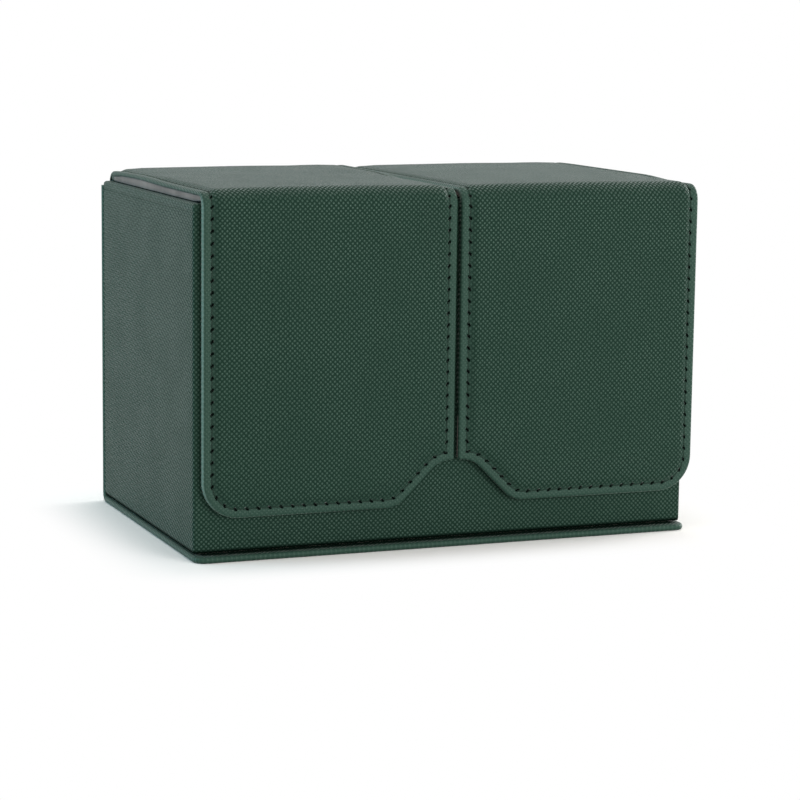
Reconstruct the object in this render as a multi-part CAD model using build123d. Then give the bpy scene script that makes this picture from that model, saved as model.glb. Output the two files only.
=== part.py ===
from build123d import *
import math
import os

os.makedirs("parts", exist_ok=True)

# A double-compartment playing card box covered in artificial leather, in millimetres.
# X runs to the right, the flaps face -Y, and Z is up from the floor it stands on.
# The origin is the middle of the base plate's underside.

# ---------------------------------------------------------------- driving dimensions
box_width = 154.0  # base plate and back panel, side to side
box_depth = 100.0  # face of the flaps to the back panel's outside
box_height = 105.0  # floor to the crown of the lids

# Cover: one sheet of leather that wraps the base plate and the back panel
cover_leather = 0.5
base_board_thickness = 1.2
back_board_thickness = 1.2
base_corner_radius = 3.5  # front corners of the base plate, seen from above
base_setback = 0.2  # base plate's front edge behind the face of the flaps
foot_radius = 3.8  # rounded bend between the base plate and the back panel
board_trim = 0.5  # board's edge to the turned leather beside it, along the bends

# Tray: greyboard walls, wrapped outside and lined inside
tray_side_inset = 0.5  # tray's side behind the base plate's edge
tray_leather_thickness = 0.5
tray_corner_radius = 0.8
wall_board = 2.0
floor_board_thickness = 1.5
divider_thickness = 2.0
lining_thickness = 0.5
rim_turn_in = 8.0  # how far the leather is turned down inside the rim

# Lids and flaps: lining, board and leather, with a thin sewn margin all round
lid_width = 75.8
lid_gap = 1.3
lid_shift = 2.1  # the pair of lids is glued on this far to the right
lid_rim_clearance = 0.45
flap_wall_clearance = 0.3
laminate_lining = 1.3
lid_board_thickness = 1.8
lid_leather_thickness = 0.7
lid_crown = 0.3
flap_board_thickness = 1.5
flap_leather_thickness = 0.9
margin_width = 3.2  # flat margin that carries the stitches
margin_rise = 1.8  # slope from the margin up to the padded middle of a lid
padding_chamfer = 1.4  # the same slope on a flap
margin_leather = 0.7  # leather over the margin
board_margin = 4.2  # edge of the laminate to the board inside it

# Bends: the back hinge and the front fold
bend_radius = 6.0
hinge_strip = 1.7  # thickness of the strip behind, leather and lining
fold_strip = 3.2  # thickness of the strip in front, which is padded
hinge_side_inset = 0.3  # hinge strip's side behind the lid's side

# Flap outline
flap_floor_gap = 12.2
flap_corner_radius = 10.5
notch_foot = 17.5  # slanted cut's lower corner, from the flap's inner edge
notch_shoulder = 4.5  # slanted cut's upper corner, from the flap's inner edge
notch_height = 13.0
notch_foot_radius = 8.5
notch_head_radius = 8.5
notch_tip_radius = 0.8

# Magnets that hold the flaps shut
magnet_diameter = 10.0
magnet_thickness = 1.2
magnet_spacing = 44.0
magnet_height = 36.0  # above the floor

# ---------------------------------------------------------------- places worked out from them
front_face = -box_depth / 2
back_face = box_depth / 2
half_width = box_width / 2

base_thickness = base_board_thickness + 2 * cover_leather
back_thickness = back_board_thickness + 2 * cover_leather
lid_thickness = laminate_lining + lid_board_thickness + lid_leather_thickness + lid_crown
flap_thickness = laminate_lining + flap_board_thickness + flap_leather_thickness

lid_under = box_height - lid_thickness
flap_back = front_face + flap_thickness
bend_z = box_height - bend_radius
fold_y = front_face + bend_radius
hinge_y = back_face - bend_radius

tray_half_width = half_width - tray_side_inset
tray_front = flap_back + flap_wall_clearance
tray_rear = back_face - back_thickness
tray_bottom = base_thickness
tray_top = lid_under - lid_rim_clearance
wall_thickness = tray_leather_thickness + wall_board + lining_thickness
walls_top = tray_top - tray_leather_thickness
turn_in_bottom = tray_top - rim_turn_in
floor_top = tray_bottom + floor_board_thickness

SIDES = {"left": -1, "right": 1}


def lid_outer_edge(side):
    """X of a lid's outer edge; side is -1 on the left and 1 on the right."""
    return side * (lid_gap / 2 + lid_width) + lid_shift


def lid_inner_edge(side):
    """X of a lid's edge beside the gap between the lids."""
    return side * lid_gap / 2 + lid_shift


def lid_span(side, inset=0.0):
    """Lowest and highest X of a lid, drawn in by inset at both edges."""
    low, high = sorted((lid_outer_edge(side), lid_inner_edge(side)))
    return low + inset, high - inset


def block(x, y, z):
    """A box between the two values given for each axis."""
    size = Box(x[1] - x[0], y[1] - y[0], z[1] - z[0])
    return Pos((x[0] + x[1]) / 2, (y[0] + y[1]) / 2, (z[0] + z[1]) / 2) * size


def centred_block(half_x, y, z):
    """A box that is symmetrical about the YZ plane."""
    return block((-half_x, half_x), y, z)


def tray_prism(inset, z):
    """The tray's plan drawn in by inset on all four sides, between two heights."""
    y = (tray_front + inset, tray_rear - inset)
    return centred_block(tray_half_width - inset, y, z)


# ---------------------------------------------------------------- base plate and back panel
def plate(inset, corner_radius, rear, z):
    """A flat plate with rounded front corners, seen from above."""
    front = front_face + base_setback + inset
    body = centred_block(half_width - inset, (front, rear), z)
    corners = body.edges().filter_by(Axis.Z).group_by(Axis.Y)[0]
    return fillet(corners, corner_radius)


def make_base_board():
    rear = back_face - foot_radius - board_trim
    z = (cover_leather, cover_leather + base_board_thickness)
    return plate(cover_leather, base_corner_radius - cover_leather, rear, z)


def make_base_leather():
    outside = plate(0.0, base_corner_radius, back_face - foot_radius, (0.0, base_thickness))
    return outside - make_base_board()


def make_back_board():
    y = (back_face - cover_leather - back_board_thickness, back_face - cover_leather)
    return centred_block(half_width - cover_leather, y, (foot_radius, bend_z - board_trim))


def make_back_leather():
    """Back panel's leather, from the bend at its foot up to the start of the hinge strips."""
    bend_start = back_face - foot_radius
    middle = foot_radius * (1 - math.sqrt(0.5))
    x = -half_width
    outline = Wire(
        [
            Edge.make_three_point_arc(
                (x, bend_start, 0), (x, back_face - middle, middle), (x, back_face, foot_radius)
            ),
            Edge.make_line((x, back_face, foot_radius), (x, back_face, bend_z)),
            Edge.make_line((x, back_face, bend_z), (x, tray_rear, bend_z)),
            Edge.make_line((x, tray_rear, bend_z), (x, tray_rear, base_thickness)),
            Edge.make_line((x, tray_rear, base_thickness), (x, bend_start, base_thickness)),
            Edge.make_line((x, bend_start, base_thickness), (x, bend_start, 0)),
        ]
    )
    return extrude(Face(outline), amount=box_width, dir=(1, 0, 0)) - make_back_board()


# ---------------------------------------------------------------- tray
def magnet_places(side):
    """X of the two magnets behind one flap."""
    middle = sum(lid_span(side)) / 2
    return [middle - magnet_spacing / 2, middle + magnet_spacing / 2]


def magnet_discs(side, rear):
    """The discs of one flap or of the wall behind it; rear is the Y of their rear faces."""
    disc = Rot(90, 0, 0) * Cylinder(magnet_diameter / 2, magnet_thickness)
    y = rear - magnet_thickness / 2
    return [Pos(x, y, magnet_height) * disc for x in magnet_places(side)]


def wall_magnets():
    """Every disc in the front wall, flush with the outside of its board."""
    rear = tray_front + tray_leather_thickness + magnet_thickness
    return [disc for side in SIDES.values() for disc in magnet_discs(side, rear)]


def make_tray_boards():
    skin = tray_leather_thickness
    x = tray_half_width - skin
    inner_x = x - wall_board
    front = tray_front + skin
    rear = tray_rear - skin
    z = (tray_bottom, walls_top)
    between = (front + wall_board, rear - wall_board)
    front_board = centred_block(x, (front, front + wall_board), z)
    for magnet in wall_magnets():
        front_board = front_board - magnet
    return {
        "tray_front_board": front_board,
        "tray_rear_board": centred_block(x, (rear - wall_board, rear), z),
        "tray_left_board": block((-x, -inner_x), between, z),
        "tray_right_board": block((inner_x, x), between, z),
        "tray_floor_board": centred_block(inner_x, between, (tray_bottom, floor_top)),
        "divider_board": centred_block(divider_thickness / 2, between, (floor_top, walls_top)),
    }


def make_divider_cap():
    """Lining folded over the divider's top edge, as deep as the rim's turned-in leather."""
    half = divider_thickness / 2
    y = (tray_front + wall_thickness, tray_rear - wall_thickness)
    outside = centred_block(half + lining_thickness, y, (turn_in_bottom, tray_top))
    return outside - centred_block(half, y, (turn_in_bottom, walls_top))


def make_tray_leather():
    """Outer wrap of the four walls, folded over the rim and turned in below it."""
    skin = tray_leather_thickness
    outside = tray_prism(0.0, (tray_bottom, tray_top))
    outside = fillet(outside.edges().filter_by(Axis.Z), tray_corner_radius)
    wrap = outside - tray_prism(skin, (tray_bottom, walls_top))
    wrap = wrap - tray_prism(wall_thickness, (walls_top, tray_top))
    turned = tray_prism(skin + wall_board, (turn_in_bottom, walls_top))
    turned = turned - tray_prism(wall_thickness, (turn_in_bottom, walls_top))
    divider = divider_thickness / 2 + lining_thickness
    turned = turned - centred_block(divider, (tray_front, tray_rear), (turn_in_bottom, walls_top))
    return wrap + turned


def make_cell_lining(side):
    """Lining of one compartment: four walls and the floor."""
    outer = tray_half_width - tray_leather_thickness - wall_board
    x = sorted((side * outer, side * divider_thickness / 2))
    skin = tray_leather_thickness + wall_board
    y = (tray_front + skin, tray_rear - skin)
    t = lining_thickness
    outside = block(x, y, (floor_top, turn_in_bottom))
    hollow = block((x[0] + t, x[1] - t), (y[0] + t, y[1] - t), (floor_top + t, turn_in_bottom))
    return outside - hollow


# ---------------------------------------------------------------- lids, bends and flaps
def cover_section(side, y, bottom):
    """Cross-section of a lid's leather in an XZ plane: thin margins and a crowned middle."""
    low, high = lid_span(side)
    margin_top = lid_under + laminate_lining + margin_leather
    shoulder = box_height - lid_crown
    padded = margin_width + margin_rise
    corners = [
        (low + padded, y, shoulder),
        (low + margin_width, y, margin_top),
        (low, y, margin_top),
        (low, y, bottom),
        (high, y, bottom),
        (high, y, margin_top),
        (high - margin_width, y, margin_top),
        (high - padded, y, shoulder),
    ]
    sides = [Edge.make_line(a, b) for a, b in zip(corners, corners[1:])]
    crown = Edge.make_three_point_arc(corners[-1], ((low + high) / 2, y, box_height), corners[0])
    return Face(Wire(sides + [crown]))


def make_lid_board(side):
    bottom = lid_under + laminate_lining
    y = (fold_y + board_trim, hinge_y - board_trim)
    return block(lid_span(side, board_margin), y, (bottom, bottom + lid_board_thickness))


def make_lid_leather(side):
    section = cover_section(side, fold_y, lid_under + laminate_lining)
    return extrude(section, amount=hinge_y - fold_y, dir=(0, 1, 0)) - make_lid_board(side)


def make_lid_lining(side):
    return block(lid_span(side), (fold_y, hinge_y), (lid_under, lid_under + laminate_lining))


def hinge_section(side):
    """Cross-section of a hinge strip where it meets the lid, no wider than the back panel."""
    low, high = lid_span(side, hinge_side_inset)
    low = max(low, -half_width)
    high = min(high, half_width)
    bottom = box_height - hinge_strip
    shoulder = box_height - lid_crown
    corners = [
        (low + margin_rise, hinge_y, shoulder),
        (low, hinge_y, (bottom + shoulder) / 2),
        (low, hinge_y, bottom),
        (high, hinge_y, bottom),
        (high, hinge_y, (bottom + shoulder) / 2),
        (high - margin_rise, hinge_y, shoulder),
    ]
    sides = [Edge.make_line(a, b) for a, b in zip(corners, corners[1:])]
    top = ((low + high) / 2, hinge_y, box_height)
    return Face(Wire(sides + [Edge.make_three_point_arc(corners[-1], top, corners[0])]))


def make_hinge_leather(side):
    axis = Axis((0, hinge_y, bend_z), (-1, 0, 0))
    return revolve(hinge_section(side), axis=axis, revolution_arc=90)


def make_fold_leather(side):
    section = cover_section(side, fold_y, box_height - fold_strip)
    return revolve(section, axis=Axis((0, fold_y, bend_z), (1, 0, 0)), revolution_arc=90)


def flap_outline(side):
    """Flap seen from the front: round outer corner, slanted cut at the inner corner."""
    outer = lid_outer_edge(side)
    inner = lid_inner_edge(side)
    notch_top = flap_floor_gap + notch_height
    corners = [
        (outer, bend_z, 0.0),
        (outer, flap_floor_gap, flap_corner_radius),
        (inner + side * notch_foot, flap_floor_gap, notch_foot_radius),
        (inner + side * notch_shoulder, notch_top, notch_head_radius),
        (inner, notch_top, notch_tip_radius),
        (inner, bend_z, 0.0),
    ]
    points = [(x, 0, z) for x, z, _ in corners]
    line = FilletPolyline(*points, radius=[r for _, _, r in corners], close=True)
    return Face(Wire(line.edges()))


def flap_layer(outline, back, front):
    """A flap's outline given thickness between two values of Y, the front one being lower."""
    return extrude(Pos(0, back, 0) * outline, amount=back - front, dir=(0, -1, 0))


def inset_layer(side, margin, back, front, top):
    """The flap's outline drawn in by margin at its sides and foot, and given thickness.

    Near the fold the layer runs straight up to the height top instead.
    """
    layer = flap_layer(offset(flap_outline(side), amount=-margin), back, front)
    z = (bend_z - 2 * margin, top)
    return layer + block(lid_span(side, margin), (front, back), z)


def make_flap_board(side):
    back = flap_back - laminate_lining
    front = back - flap_board_thickness
    return inset_layer(side, board_margin, back, front, bend_z - board_trim)


def make_flap_leather(side):
    """Thin margin with the stitches, and a raised middle over the board."""
    back = flap_back - laminate_lining
    margin = flap_layer(flap_outline(side), back, back - margin_leather)
    raised = inset_layer(side, margin_width, back, front_face, bend_z)
    rim = raised.faces().sort_by(Axis.Y)[0].edges()
    rim = rim.sort_by(Axis.Z)[:-1]
    raised = chamfer(rim, padding_chamfer)
    return (margin + raised) - make_flap_board(side)


def make_flap_lining(side):
    return flap_layer(flap_outline(side), flap_back, flap_back - laminate_lining)


def make_lid_and_flap(name, side):
    """Every piece of one lid and its flap, by node name."""
    magnets = magnet_discs(side, flap_back - laminate_lining)
    flap_board = make_flap_board(side)
    for magnet in magnets:
        flap_board = flap_board - magnet
    return {
        f"{name}_hinge_leather": make_hinge_leather(side),
        f"{name}_lid_board": make_lid_board(side),
        f"{name}_lid_leather": make_lid_leather(side),
        f"{name}_lid_lining": make_lid_lining(side),
        f"{name}_fold_leather": make_fold_leather(side),
        f"{name}_flap_board": flap_board,
        f"{name}_flap_leather": make_flap_leather(side),
        f"{name}_flap_lining": make_flap_lining(side),
        f"{name}_flap_magnets": Compound(children=magnets),
    }


def make_pieces():
    """Every piece of the box, by node name."""
    pieces = {
        "base_board": make_base_board(),
        "base_leather": make_base_leather(),
        "back_board": make_back_board(),
        "back_leather": make_back_leather(),
        "divider_cap": make_divider_cap(),
        "tray_leather": make_tray_leather(),
        "front_wall_magnets": Compound(children=wall_magnets()),
    }
    pieces.update(make_tray_boards())
    for name, side in SIDES.items():
        pieces[f"{name}_cell_lining"] = make_cell_lining(side)
        pieces.update(make_lid_and_flap(name, side))
    return pieces


for node, piece in make_pieces().items():
    export_step(piece, f"parts/{node}.step")
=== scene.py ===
"""Looks of a double-compartment playing card box covered in embossed leatherette.

One wrapped cover runs from the base plate up the back, over the two lids and down their
stitched flaps, and a lined tray stands on the base plate. Sizes are millimetres until a
mesh is made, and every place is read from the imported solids.
"""

import logging
import math
from dataclasses import dataclass, field
from enum import Enum
from typing import Optional, Sequence, Union

import bmesh
import bpy
import numpy as np
from mathutils import Matrix, Vector


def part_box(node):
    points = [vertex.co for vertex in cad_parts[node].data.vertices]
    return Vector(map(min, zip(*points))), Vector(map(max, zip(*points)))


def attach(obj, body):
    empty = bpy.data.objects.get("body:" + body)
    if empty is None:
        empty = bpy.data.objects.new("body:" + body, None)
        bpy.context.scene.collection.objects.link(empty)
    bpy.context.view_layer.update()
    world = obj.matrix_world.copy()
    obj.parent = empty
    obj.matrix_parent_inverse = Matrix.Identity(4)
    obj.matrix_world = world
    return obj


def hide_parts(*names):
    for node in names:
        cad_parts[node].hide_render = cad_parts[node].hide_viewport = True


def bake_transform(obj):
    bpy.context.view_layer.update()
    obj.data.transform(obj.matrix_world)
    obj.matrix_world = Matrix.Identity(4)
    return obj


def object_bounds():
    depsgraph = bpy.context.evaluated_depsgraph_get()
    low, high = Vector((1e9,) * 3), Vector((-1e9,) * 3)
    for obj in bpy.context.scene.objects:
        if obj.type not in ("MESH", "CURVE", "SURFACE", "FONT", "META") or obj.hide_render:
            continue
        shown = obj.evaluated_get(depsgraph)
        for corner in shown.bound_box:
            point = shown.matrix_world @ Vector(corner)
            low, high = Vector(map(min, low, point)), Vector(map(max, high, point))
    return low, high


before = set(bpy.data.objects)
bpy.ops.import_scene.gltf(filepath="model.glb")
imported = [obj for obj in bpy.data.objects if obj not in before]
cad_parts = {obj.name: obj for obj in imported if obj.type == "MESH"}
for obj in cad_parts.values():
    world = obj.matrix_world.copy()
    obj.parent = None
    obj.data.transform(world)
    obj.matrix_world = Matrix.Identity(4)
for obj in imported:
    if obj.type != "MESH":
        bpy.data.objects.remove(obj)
cad_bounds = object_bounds()

LOG = logging.getLogger("card_box")
MM = 0.001
WELD_DISTANCE = 2e-6  # metres; points closer than this are one point
TINY = 1e-9  # millimetres; a shorter run has no direction
BEND_MARGIN = 1.0  # millimetres beside a bend in which a sheet's grid is still close
GRAIN = "grain"  # UV map of each sheet, in millimetres of the real leather
SEAM = "seam"  # UV map of a sewn sheet: stitches along the seam, millimetres beside it
PRESSED = "pressed"  # 1 where the grain was pressed flat by folding or sewing
CUT_EDGE_AND_HIGHLIGHT = "cut"  # 1 on a sheet's pale edge: painted highlight where the edge is folded, the pale cloth back where it is cut
CREASE_SHADE = "crease_shade"  # 1 deep in a crease, where shade is painted on the sheet

# What feeds a node's input; of a node, its first output in use.
Operand = Union[float, Sequence[float], bpy.types.NodeSocket, bpy.types.Node]


class Side(Enum):
    """The two compartments; the value is the sign of their X."""

    LEFT = -1
    RIGHT = 1

    @property
    def word(self) -> str:
        """Name that the side's pieces start with."""
        return self.name.lower()


class Slot(Enum):
    """Names of material slots; no piece made here is given one."""

    COVER = "cover_leather"
    TRAY = "tray_leather"
    HINGE = "hinge_leather"
    LINING = "lining"
    THREAD = "thread"


# ---------------------------------------------------------------- small tools
def span(node: str) -> tuple[np.ndarray, np.ndarray]:
    """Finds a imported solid's lowest and highest corner.

    Args:
        node: name of the solid.

    Returns:
        The two corners, in millimetres.
    """
    low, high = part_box(node)
    return np.array(low) / MM, np.array(high) / MM


def smoothstep(value: np.ndarray, start: float, end: float) -> np.ndarray:
    """Rises smoothly from 0 at start to 1 at end.

    Args:
        value: where to read the step.
        start: value that gives 0.
        end: value that gives 1.

    Returns:
        The step at each value.
    """
    t = np.clip((np.asarray(value, float) - start) / (end - start), 0.0, 1.0)
    return t * t * (3.0 - 2.0 * t)


def mixed(low: np.ndarray, high: np.ndarray, share: np.ndarray) -> np.ndarray:
    """Goes from low to high as share goes from 0 to 1."""
    return low + (high - low) * share


def rounding(depth: np.ndarray, radius: float) -> np.ndarray:
    """Tells how far a rounded edge lies below its flat face.

    Args:
        depth: distance in from the edge.
        radius: radius of the edge.

    Returns:
        The drop at each depth: the radius at the edge, and 0 once past it.
    """
    left = np.clip(radius - np.asarray(depth, float), 0.0, radius)
    return radius - np.sqrt(radius * radius - left * left)


def bump_at(value: np.ndarray, middle: float, width: float) -> np.ndarray:
    """A smooth hump of height 1 round the value middle."""
    return np.exp(-(((np.asarray(value, float) - middle) / width) ** 2))


def linear(hex_colour: str) -> tuple[float, float, float, float]:
    """Turns an sRGB colour into the linear one that shaders take.

    Args:
        hex_colour: the colour as #rrggbb.

    Returns:
        Linear red, green, blue and an alpha of 1.
    """
    parts = [int(hex_colour[i : i + 2], 16) / 255 for i in (1, 3, 5)]
    curve = [c / 12.92 if c <= 0.04045 else ((c + 0.055) / 1.055) ** 2.4 for c in parts]
    return (curve[0], curve[1], curve[2], 1.0)


def add_node(
    owner: bpy.types.ID,
    kind: str,
    inputs: Union[dict, Sequence[Operand]] = (),
    **settings: str,
) -> bpy.types.Node:
    """Adds one node with its settings and links.

    Args:
        owner: material or world that holds the node tree.
        kind: node type, without its ShaderNode prefix.
        inputs: what feeds each input, by its name or in the order of the inputs in use.
        settings: attributes of the node.

    Returns:
        The new node.
    """
    tree = owner.node_tree
    node = tree.nodes.new("ShaderNode" + kind)
    for name, value in settings.items():
        setattr(node, name, value)
    if isinstance(inputs, dict):
        fed = [(node.inputs[name], value) for name, value in inputs.items()]
    else:
        fed = zip([socket for socket in node.inputs if socket.enabled], inputs)
    for socket, value in fed:
        if isinstance(value, bpy.types.Node):
            value = next(output for output in value.outputs if output.enabled)
        if isinstance(value, bpy.types.NodeSocket):
            tree.links.new(value, socket)
        else:
            socket.default_value = value
    return node


def seen_directly(owner: bpy.types.ID) -> bpy.types.Node:
    """Adds the test for rays that come from the camera, a mirror or through glass.

    Args:
        owner: material or world that holds the nodes.

    Returns:
        A node that gives 1 for those rays and 0 for the light that falls on things.
    """
    path = add_node(owner, "LightPath").outputs
    mirrored = (path["Is Glossy Ray"], path["Is Transmission Ray"])
    reflected = add_node(owner, "Math", mirrored, operation="MAXIMUM")
    return add_node(owner, "Math", (path["Is Camera Ray"], reflected), operation="MAXIMUM")


# ---------------------------------------------------------------- finishes
class Finish:
    """A finish of the box: the pattern and the shader of a material of the same name."""

    name: str

    def material(self) -> bpy.types.Material:
        """Makes the material round the shader of the finish.

        Returns:
            The material.
        """
        m = bpy.data.materials.new(self.name)
        m.use_nodes = True
        m.node_tree.nodes.clear()
        add_node(m, "OutputMaterial", (self.shader(m),))
        return m

    def shader(self, m: bpy.types.Material) -> bpy.types.Node:
        """Adds the pattern's nodes and, after them, the shader.

        Args:
            m: material that holds the nodes.

        Returns:
            The shader.
        """
        raise NotImplementedError


@dataclass(frozen=True)
class NeedleHoles:
    """Slanted holes that the sewing needle left in a leather, one for each stitch."""

    pitch: float = 3.4  # nominal stitch length
    half_length: float = 0.6
    half_width: float = 0.5
    slant: float = 0.55  # how far the hole leans, for each millimetre beside the seam
    rim: float = 1.25  # square of the distance at which the hole starts, in half sizes
    floor: float = 0.55  # and of that at which it is fully dark
    depth: float = 2.0  # in heights of the leather's dots
    # near black: painted shade inside the needle holes
    colour: str = "#050b09"

    def mask(self, m: bpy.types.Material) -> bpy.types.Node:
        """Adds the nodes that draw the holes from the seam UV map.

        Args:
            m: the leather's material.

        Returns:
            A node that gives 1 inside a hole and 0 on the leather.
        """
        seam = add_node(m, "SeparateXYZ", (add_node(m, "UVMap", uv_map=SEAM),)).outputs
        lean = (seam["Y"], self.slant / self.pitch, seam["X"])
        stitches = add_node(m, "Math", lean, operation="MULTIPLY_ADD")
        nearest = add_node(m, "Math", (stitches,), operation="ROUND")
        off = add_node(m, "Math", (stitches, nearest), operation="SUBTRACT")
        along = add_node(m, "Math", (off, self.pitch / self.half_length), operation="MULTIPLY")
        across = add_node(m, "Math", (seam["Y"], self.half_width), operation="DIVIDE")
        square = add_node(m, "Math", (along, along), operation="MULTIPLY")
        size = add_node(m, "Math", (across, across, square), operation="MULTIPLY_ADD")
        edge = (size, self.rim, self.floor)
        return add_node(m, "MapRange", edge, interpolation_type="SMOOTHSTEP")


@dataclass(frozen=True)
class EmbossedLeatherette(Finish):
    """Polyurethane leatherette on a cloth back, embossed hot with a cross grain.

    It gives the eye a dark green skin covered in rows of small dots on both diagonals,
    which go dull and flat where the sheet was folded or sewn, and a grey sheen at a grazing
    angle. The dots are painted paler on their tops as highlight and the ground between them
    darker as shade; the ground lies too deep to shine.
    """

    name: str = "embossed_leatherette"
    # ground: painted shade in the hollows between the dots; dot: painted highlight on their tops
    ground: str = "#172c23"
    dot: str = "#274034"
    # the ground where pressing left the hollows shallow, with less painted shade
    flattened: str = "#213a30"
    # pale edge: painted highlight on folded edges, the cloth back on cut ones
    cloth: str = "#5c7066"
    # near black: painted shade deep in creases
    crease: str = "#07120d"
    gloss: str = "#e2f8ee"  # faint green of the lacquer's highlights
    pitch: float = 1.0  # between neighbouring dots, along a diagonal
    stray: float = 0.12  # how far the dots stray from their rows, 0 to 1
    dot_edge: float = 0.5  # radius of a dot's foot, in pitches
    dot_top: float = 0.14  # radius of its flat top, in pitches
    dot_height: float = 0.12
    patch: float = 14.0  # size of the patches where the embossing bit more or less
    patch_range: tuple[float, float] = (0.35, 0.65)  # noise of the least and the full bite
    least_bite: float = 0.82  # height of the dots where the embossing bit least
    pressed_relief: float = 0.8  # share of the relief that is left where it was pressed
    pore: float = 0.22
    pore_depth: float = 0.02
    pore_strength: float = 0.25
    roughness_ground: float = 0.6
    roughness_dot: float = 0.42
    ior: float = 1.48
    specular_ground: float = 0.05
    specular_dot: float = 0.37
    specular_flattened: float = 0.26
    sheen: float = 0.28  # of the dots; the ground has none
    sheen_roughness: float = 0.35
    holes: Optional[NeedleHoles] = None

    def shader(self, m: bpy.types.Material) -> bpy.types.Node:
        """Adds the dotted skin with its painted highlight and shade, its folds, its pale edges
        (painted highlight where folded, the cloth back where cut), the painted shade of creases
        and needle holes painted dark as shade.

        Args:
            m: material that holds the nodes.

        Returns:
            The shader.
        """
        grain = add_node(m, "UVMap", uv_map=GRAIN)
        pressed, cut, crease_shade = (
            add_node(m, "Attribute", attribute_name=mark).outputs["Fac"]
            for mark in (PRESSED, CUT_EDGE_AND_HIGHLIGHT, CREASE_SHADE)
        )
        relief = self._relief(m, grain, pressed)
        height = relief
        low = (pressed, 0.0, 1.0, self.specular_ground, self.specular_flattened)
        skin = (relief, 0.0, 1.0, add_node(m, "MapRange", low), self.specular_dot)
        shine = add_node(m, "MapRange", skin)
        sheen = add_node(m, "Math", (relief, self.sheen), operation="MULTIPLY")
        # the painted shade of creases also takes away the shine and the sheen
        clear = add_node(m, "Math", (1.0, crease_shade), operation="SUBTRACT")
        shine = add_node(m, "Math", (shine, clear), operation="MULTIPLY")
        # colour layers: the dots' painted highlight over the ground's painted shade, the pale edge,
        # and the painted shade of creases
        layers = [
            (pressed, self.flattened),
            (relief, self.dot),
            (cut, self.cloth),
            (crease_shade, self.crease),
        ]
        if self.holes:
            hole = self.holes.mask(m)
            # needle holes painted near black as the shade inside them, and without shine
            layers.append((hole, self.holes.colour))
            whole = add_node(m, "Math", (1.0, hole), operation="SUBTRACT")
            shine = add_node(m, "Math", (shine, whole), operation="MULTIPLY")
            sunk = (hole, -self.holes.depth, relief)
            height = add_node(m, "Math", sunk, operation="MULTIPLY_ADD")
        colour = linear(self.ground)
        for share, layer in layers:
            colour = add_node(m, "Mix", (share, colour, linear(layer)), data_type="RGBA")
        rough = (relief, 0.0, 1.0, self.roughness_ground, self.roughness_dot)
        surface = {
            "Base Color": colour,
            "Roughness": add_node(m, "MapRange", rough),
            "IOR": self.ior,
            "Specular IOR Level": shine,
            "Specular Tint": linear(self.gloss),
            "Sheen Weight": add_node(m, "Math", (sheen, clear), operation="MULTIPLY"),
            "Sheen Roughness": self.sheen_roughness,
            "Normal": self._normal(m, grain, height),
        }
        return add_node(m, "BsdfPrincipled", surface)

    def _relief(
        self, m: bpy.types.Material, grain: bpy.types.Node, pressed: bpy.types.NodeSocket
    ) -> bpy.types.Node:
        """Adds the dots: 1 on a dot, 0 on the ground, lower where pressed or poorly bitten.

        Args:
            m: material that holds the nodes.
            grain: node of the grain UV map.
            pressed: how flat the sheet was pressed.

        Returns:
            A node that gives the height, in dots.
        """
        lay = {
            "Vector": grain,
            "Rotation": (0.0, 0.0, math.radians(45)),
            "Scale": (1 / self.pitch, 1 / self.pitch, 1.0),
        }
        rows = {"Vector": add_node(m, "Mapping", lay), "Scale": 1.0, "Randomness": self.stray}
        cells = add_node(m, "TexVoronoi", rows, voronoi_dimensions="2D").outputs["Distance"]
        edge = (cells, self.dot_edge, self.dot_top)
        dots = add_node(m, "MapRange", edge, interpolation_type="SMOOTHSTEP")
        spots = {"Vector": grain, "Scale": 1 / self.patch, "Detail": 3.0}
        patches = add_node(m, "TexNoise", spots, noise_dimensions="2D")
        bite = add_node(m, "MapRange", (patches, *self.patch_range, self.least_bite, 1.0))
        left = add_node(m, "MapRange", (pressed, 0.0, 1.0, 1.0, self.pressed_relief))
        share = add_node(m, "Math", (bite, left), operation="MULTIPLY")
        return add_node(m, "Math", (dots, share), operation="MULTIPLY")

    def _normal(
        self, m: bpy.types.Material, grain: bpy.types.Node, height: bpy.types.Node
    ) -> bpy.types.Node:
        """Adds the bumps of the dots over those of the pores.

        Args:
            m: material that holds the nodes.
            grain: node of the grain UV map.
            height: node of the height, in dots.

        Returns:
            A node that gives the normal.
        """
        pitting = {"Vector": grain, "Scale": 1 / self.pore, "Detail": 2.0}
        pores = {
            "Height": add_node(m, "TexNoise", pitting, noise_dimensions="2D"),
            "Strength": self.pore_strength,
            "Distance": self.pore_depth * MM,
        }
        dots = {
            "Height": height,
            "Strength": 1.0,
            "Distance": self.dot_height * MM,
            "Normal": add_node(m, "Bump", pores),
        }
        return add_node(m, "Bump", dots)


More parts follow.
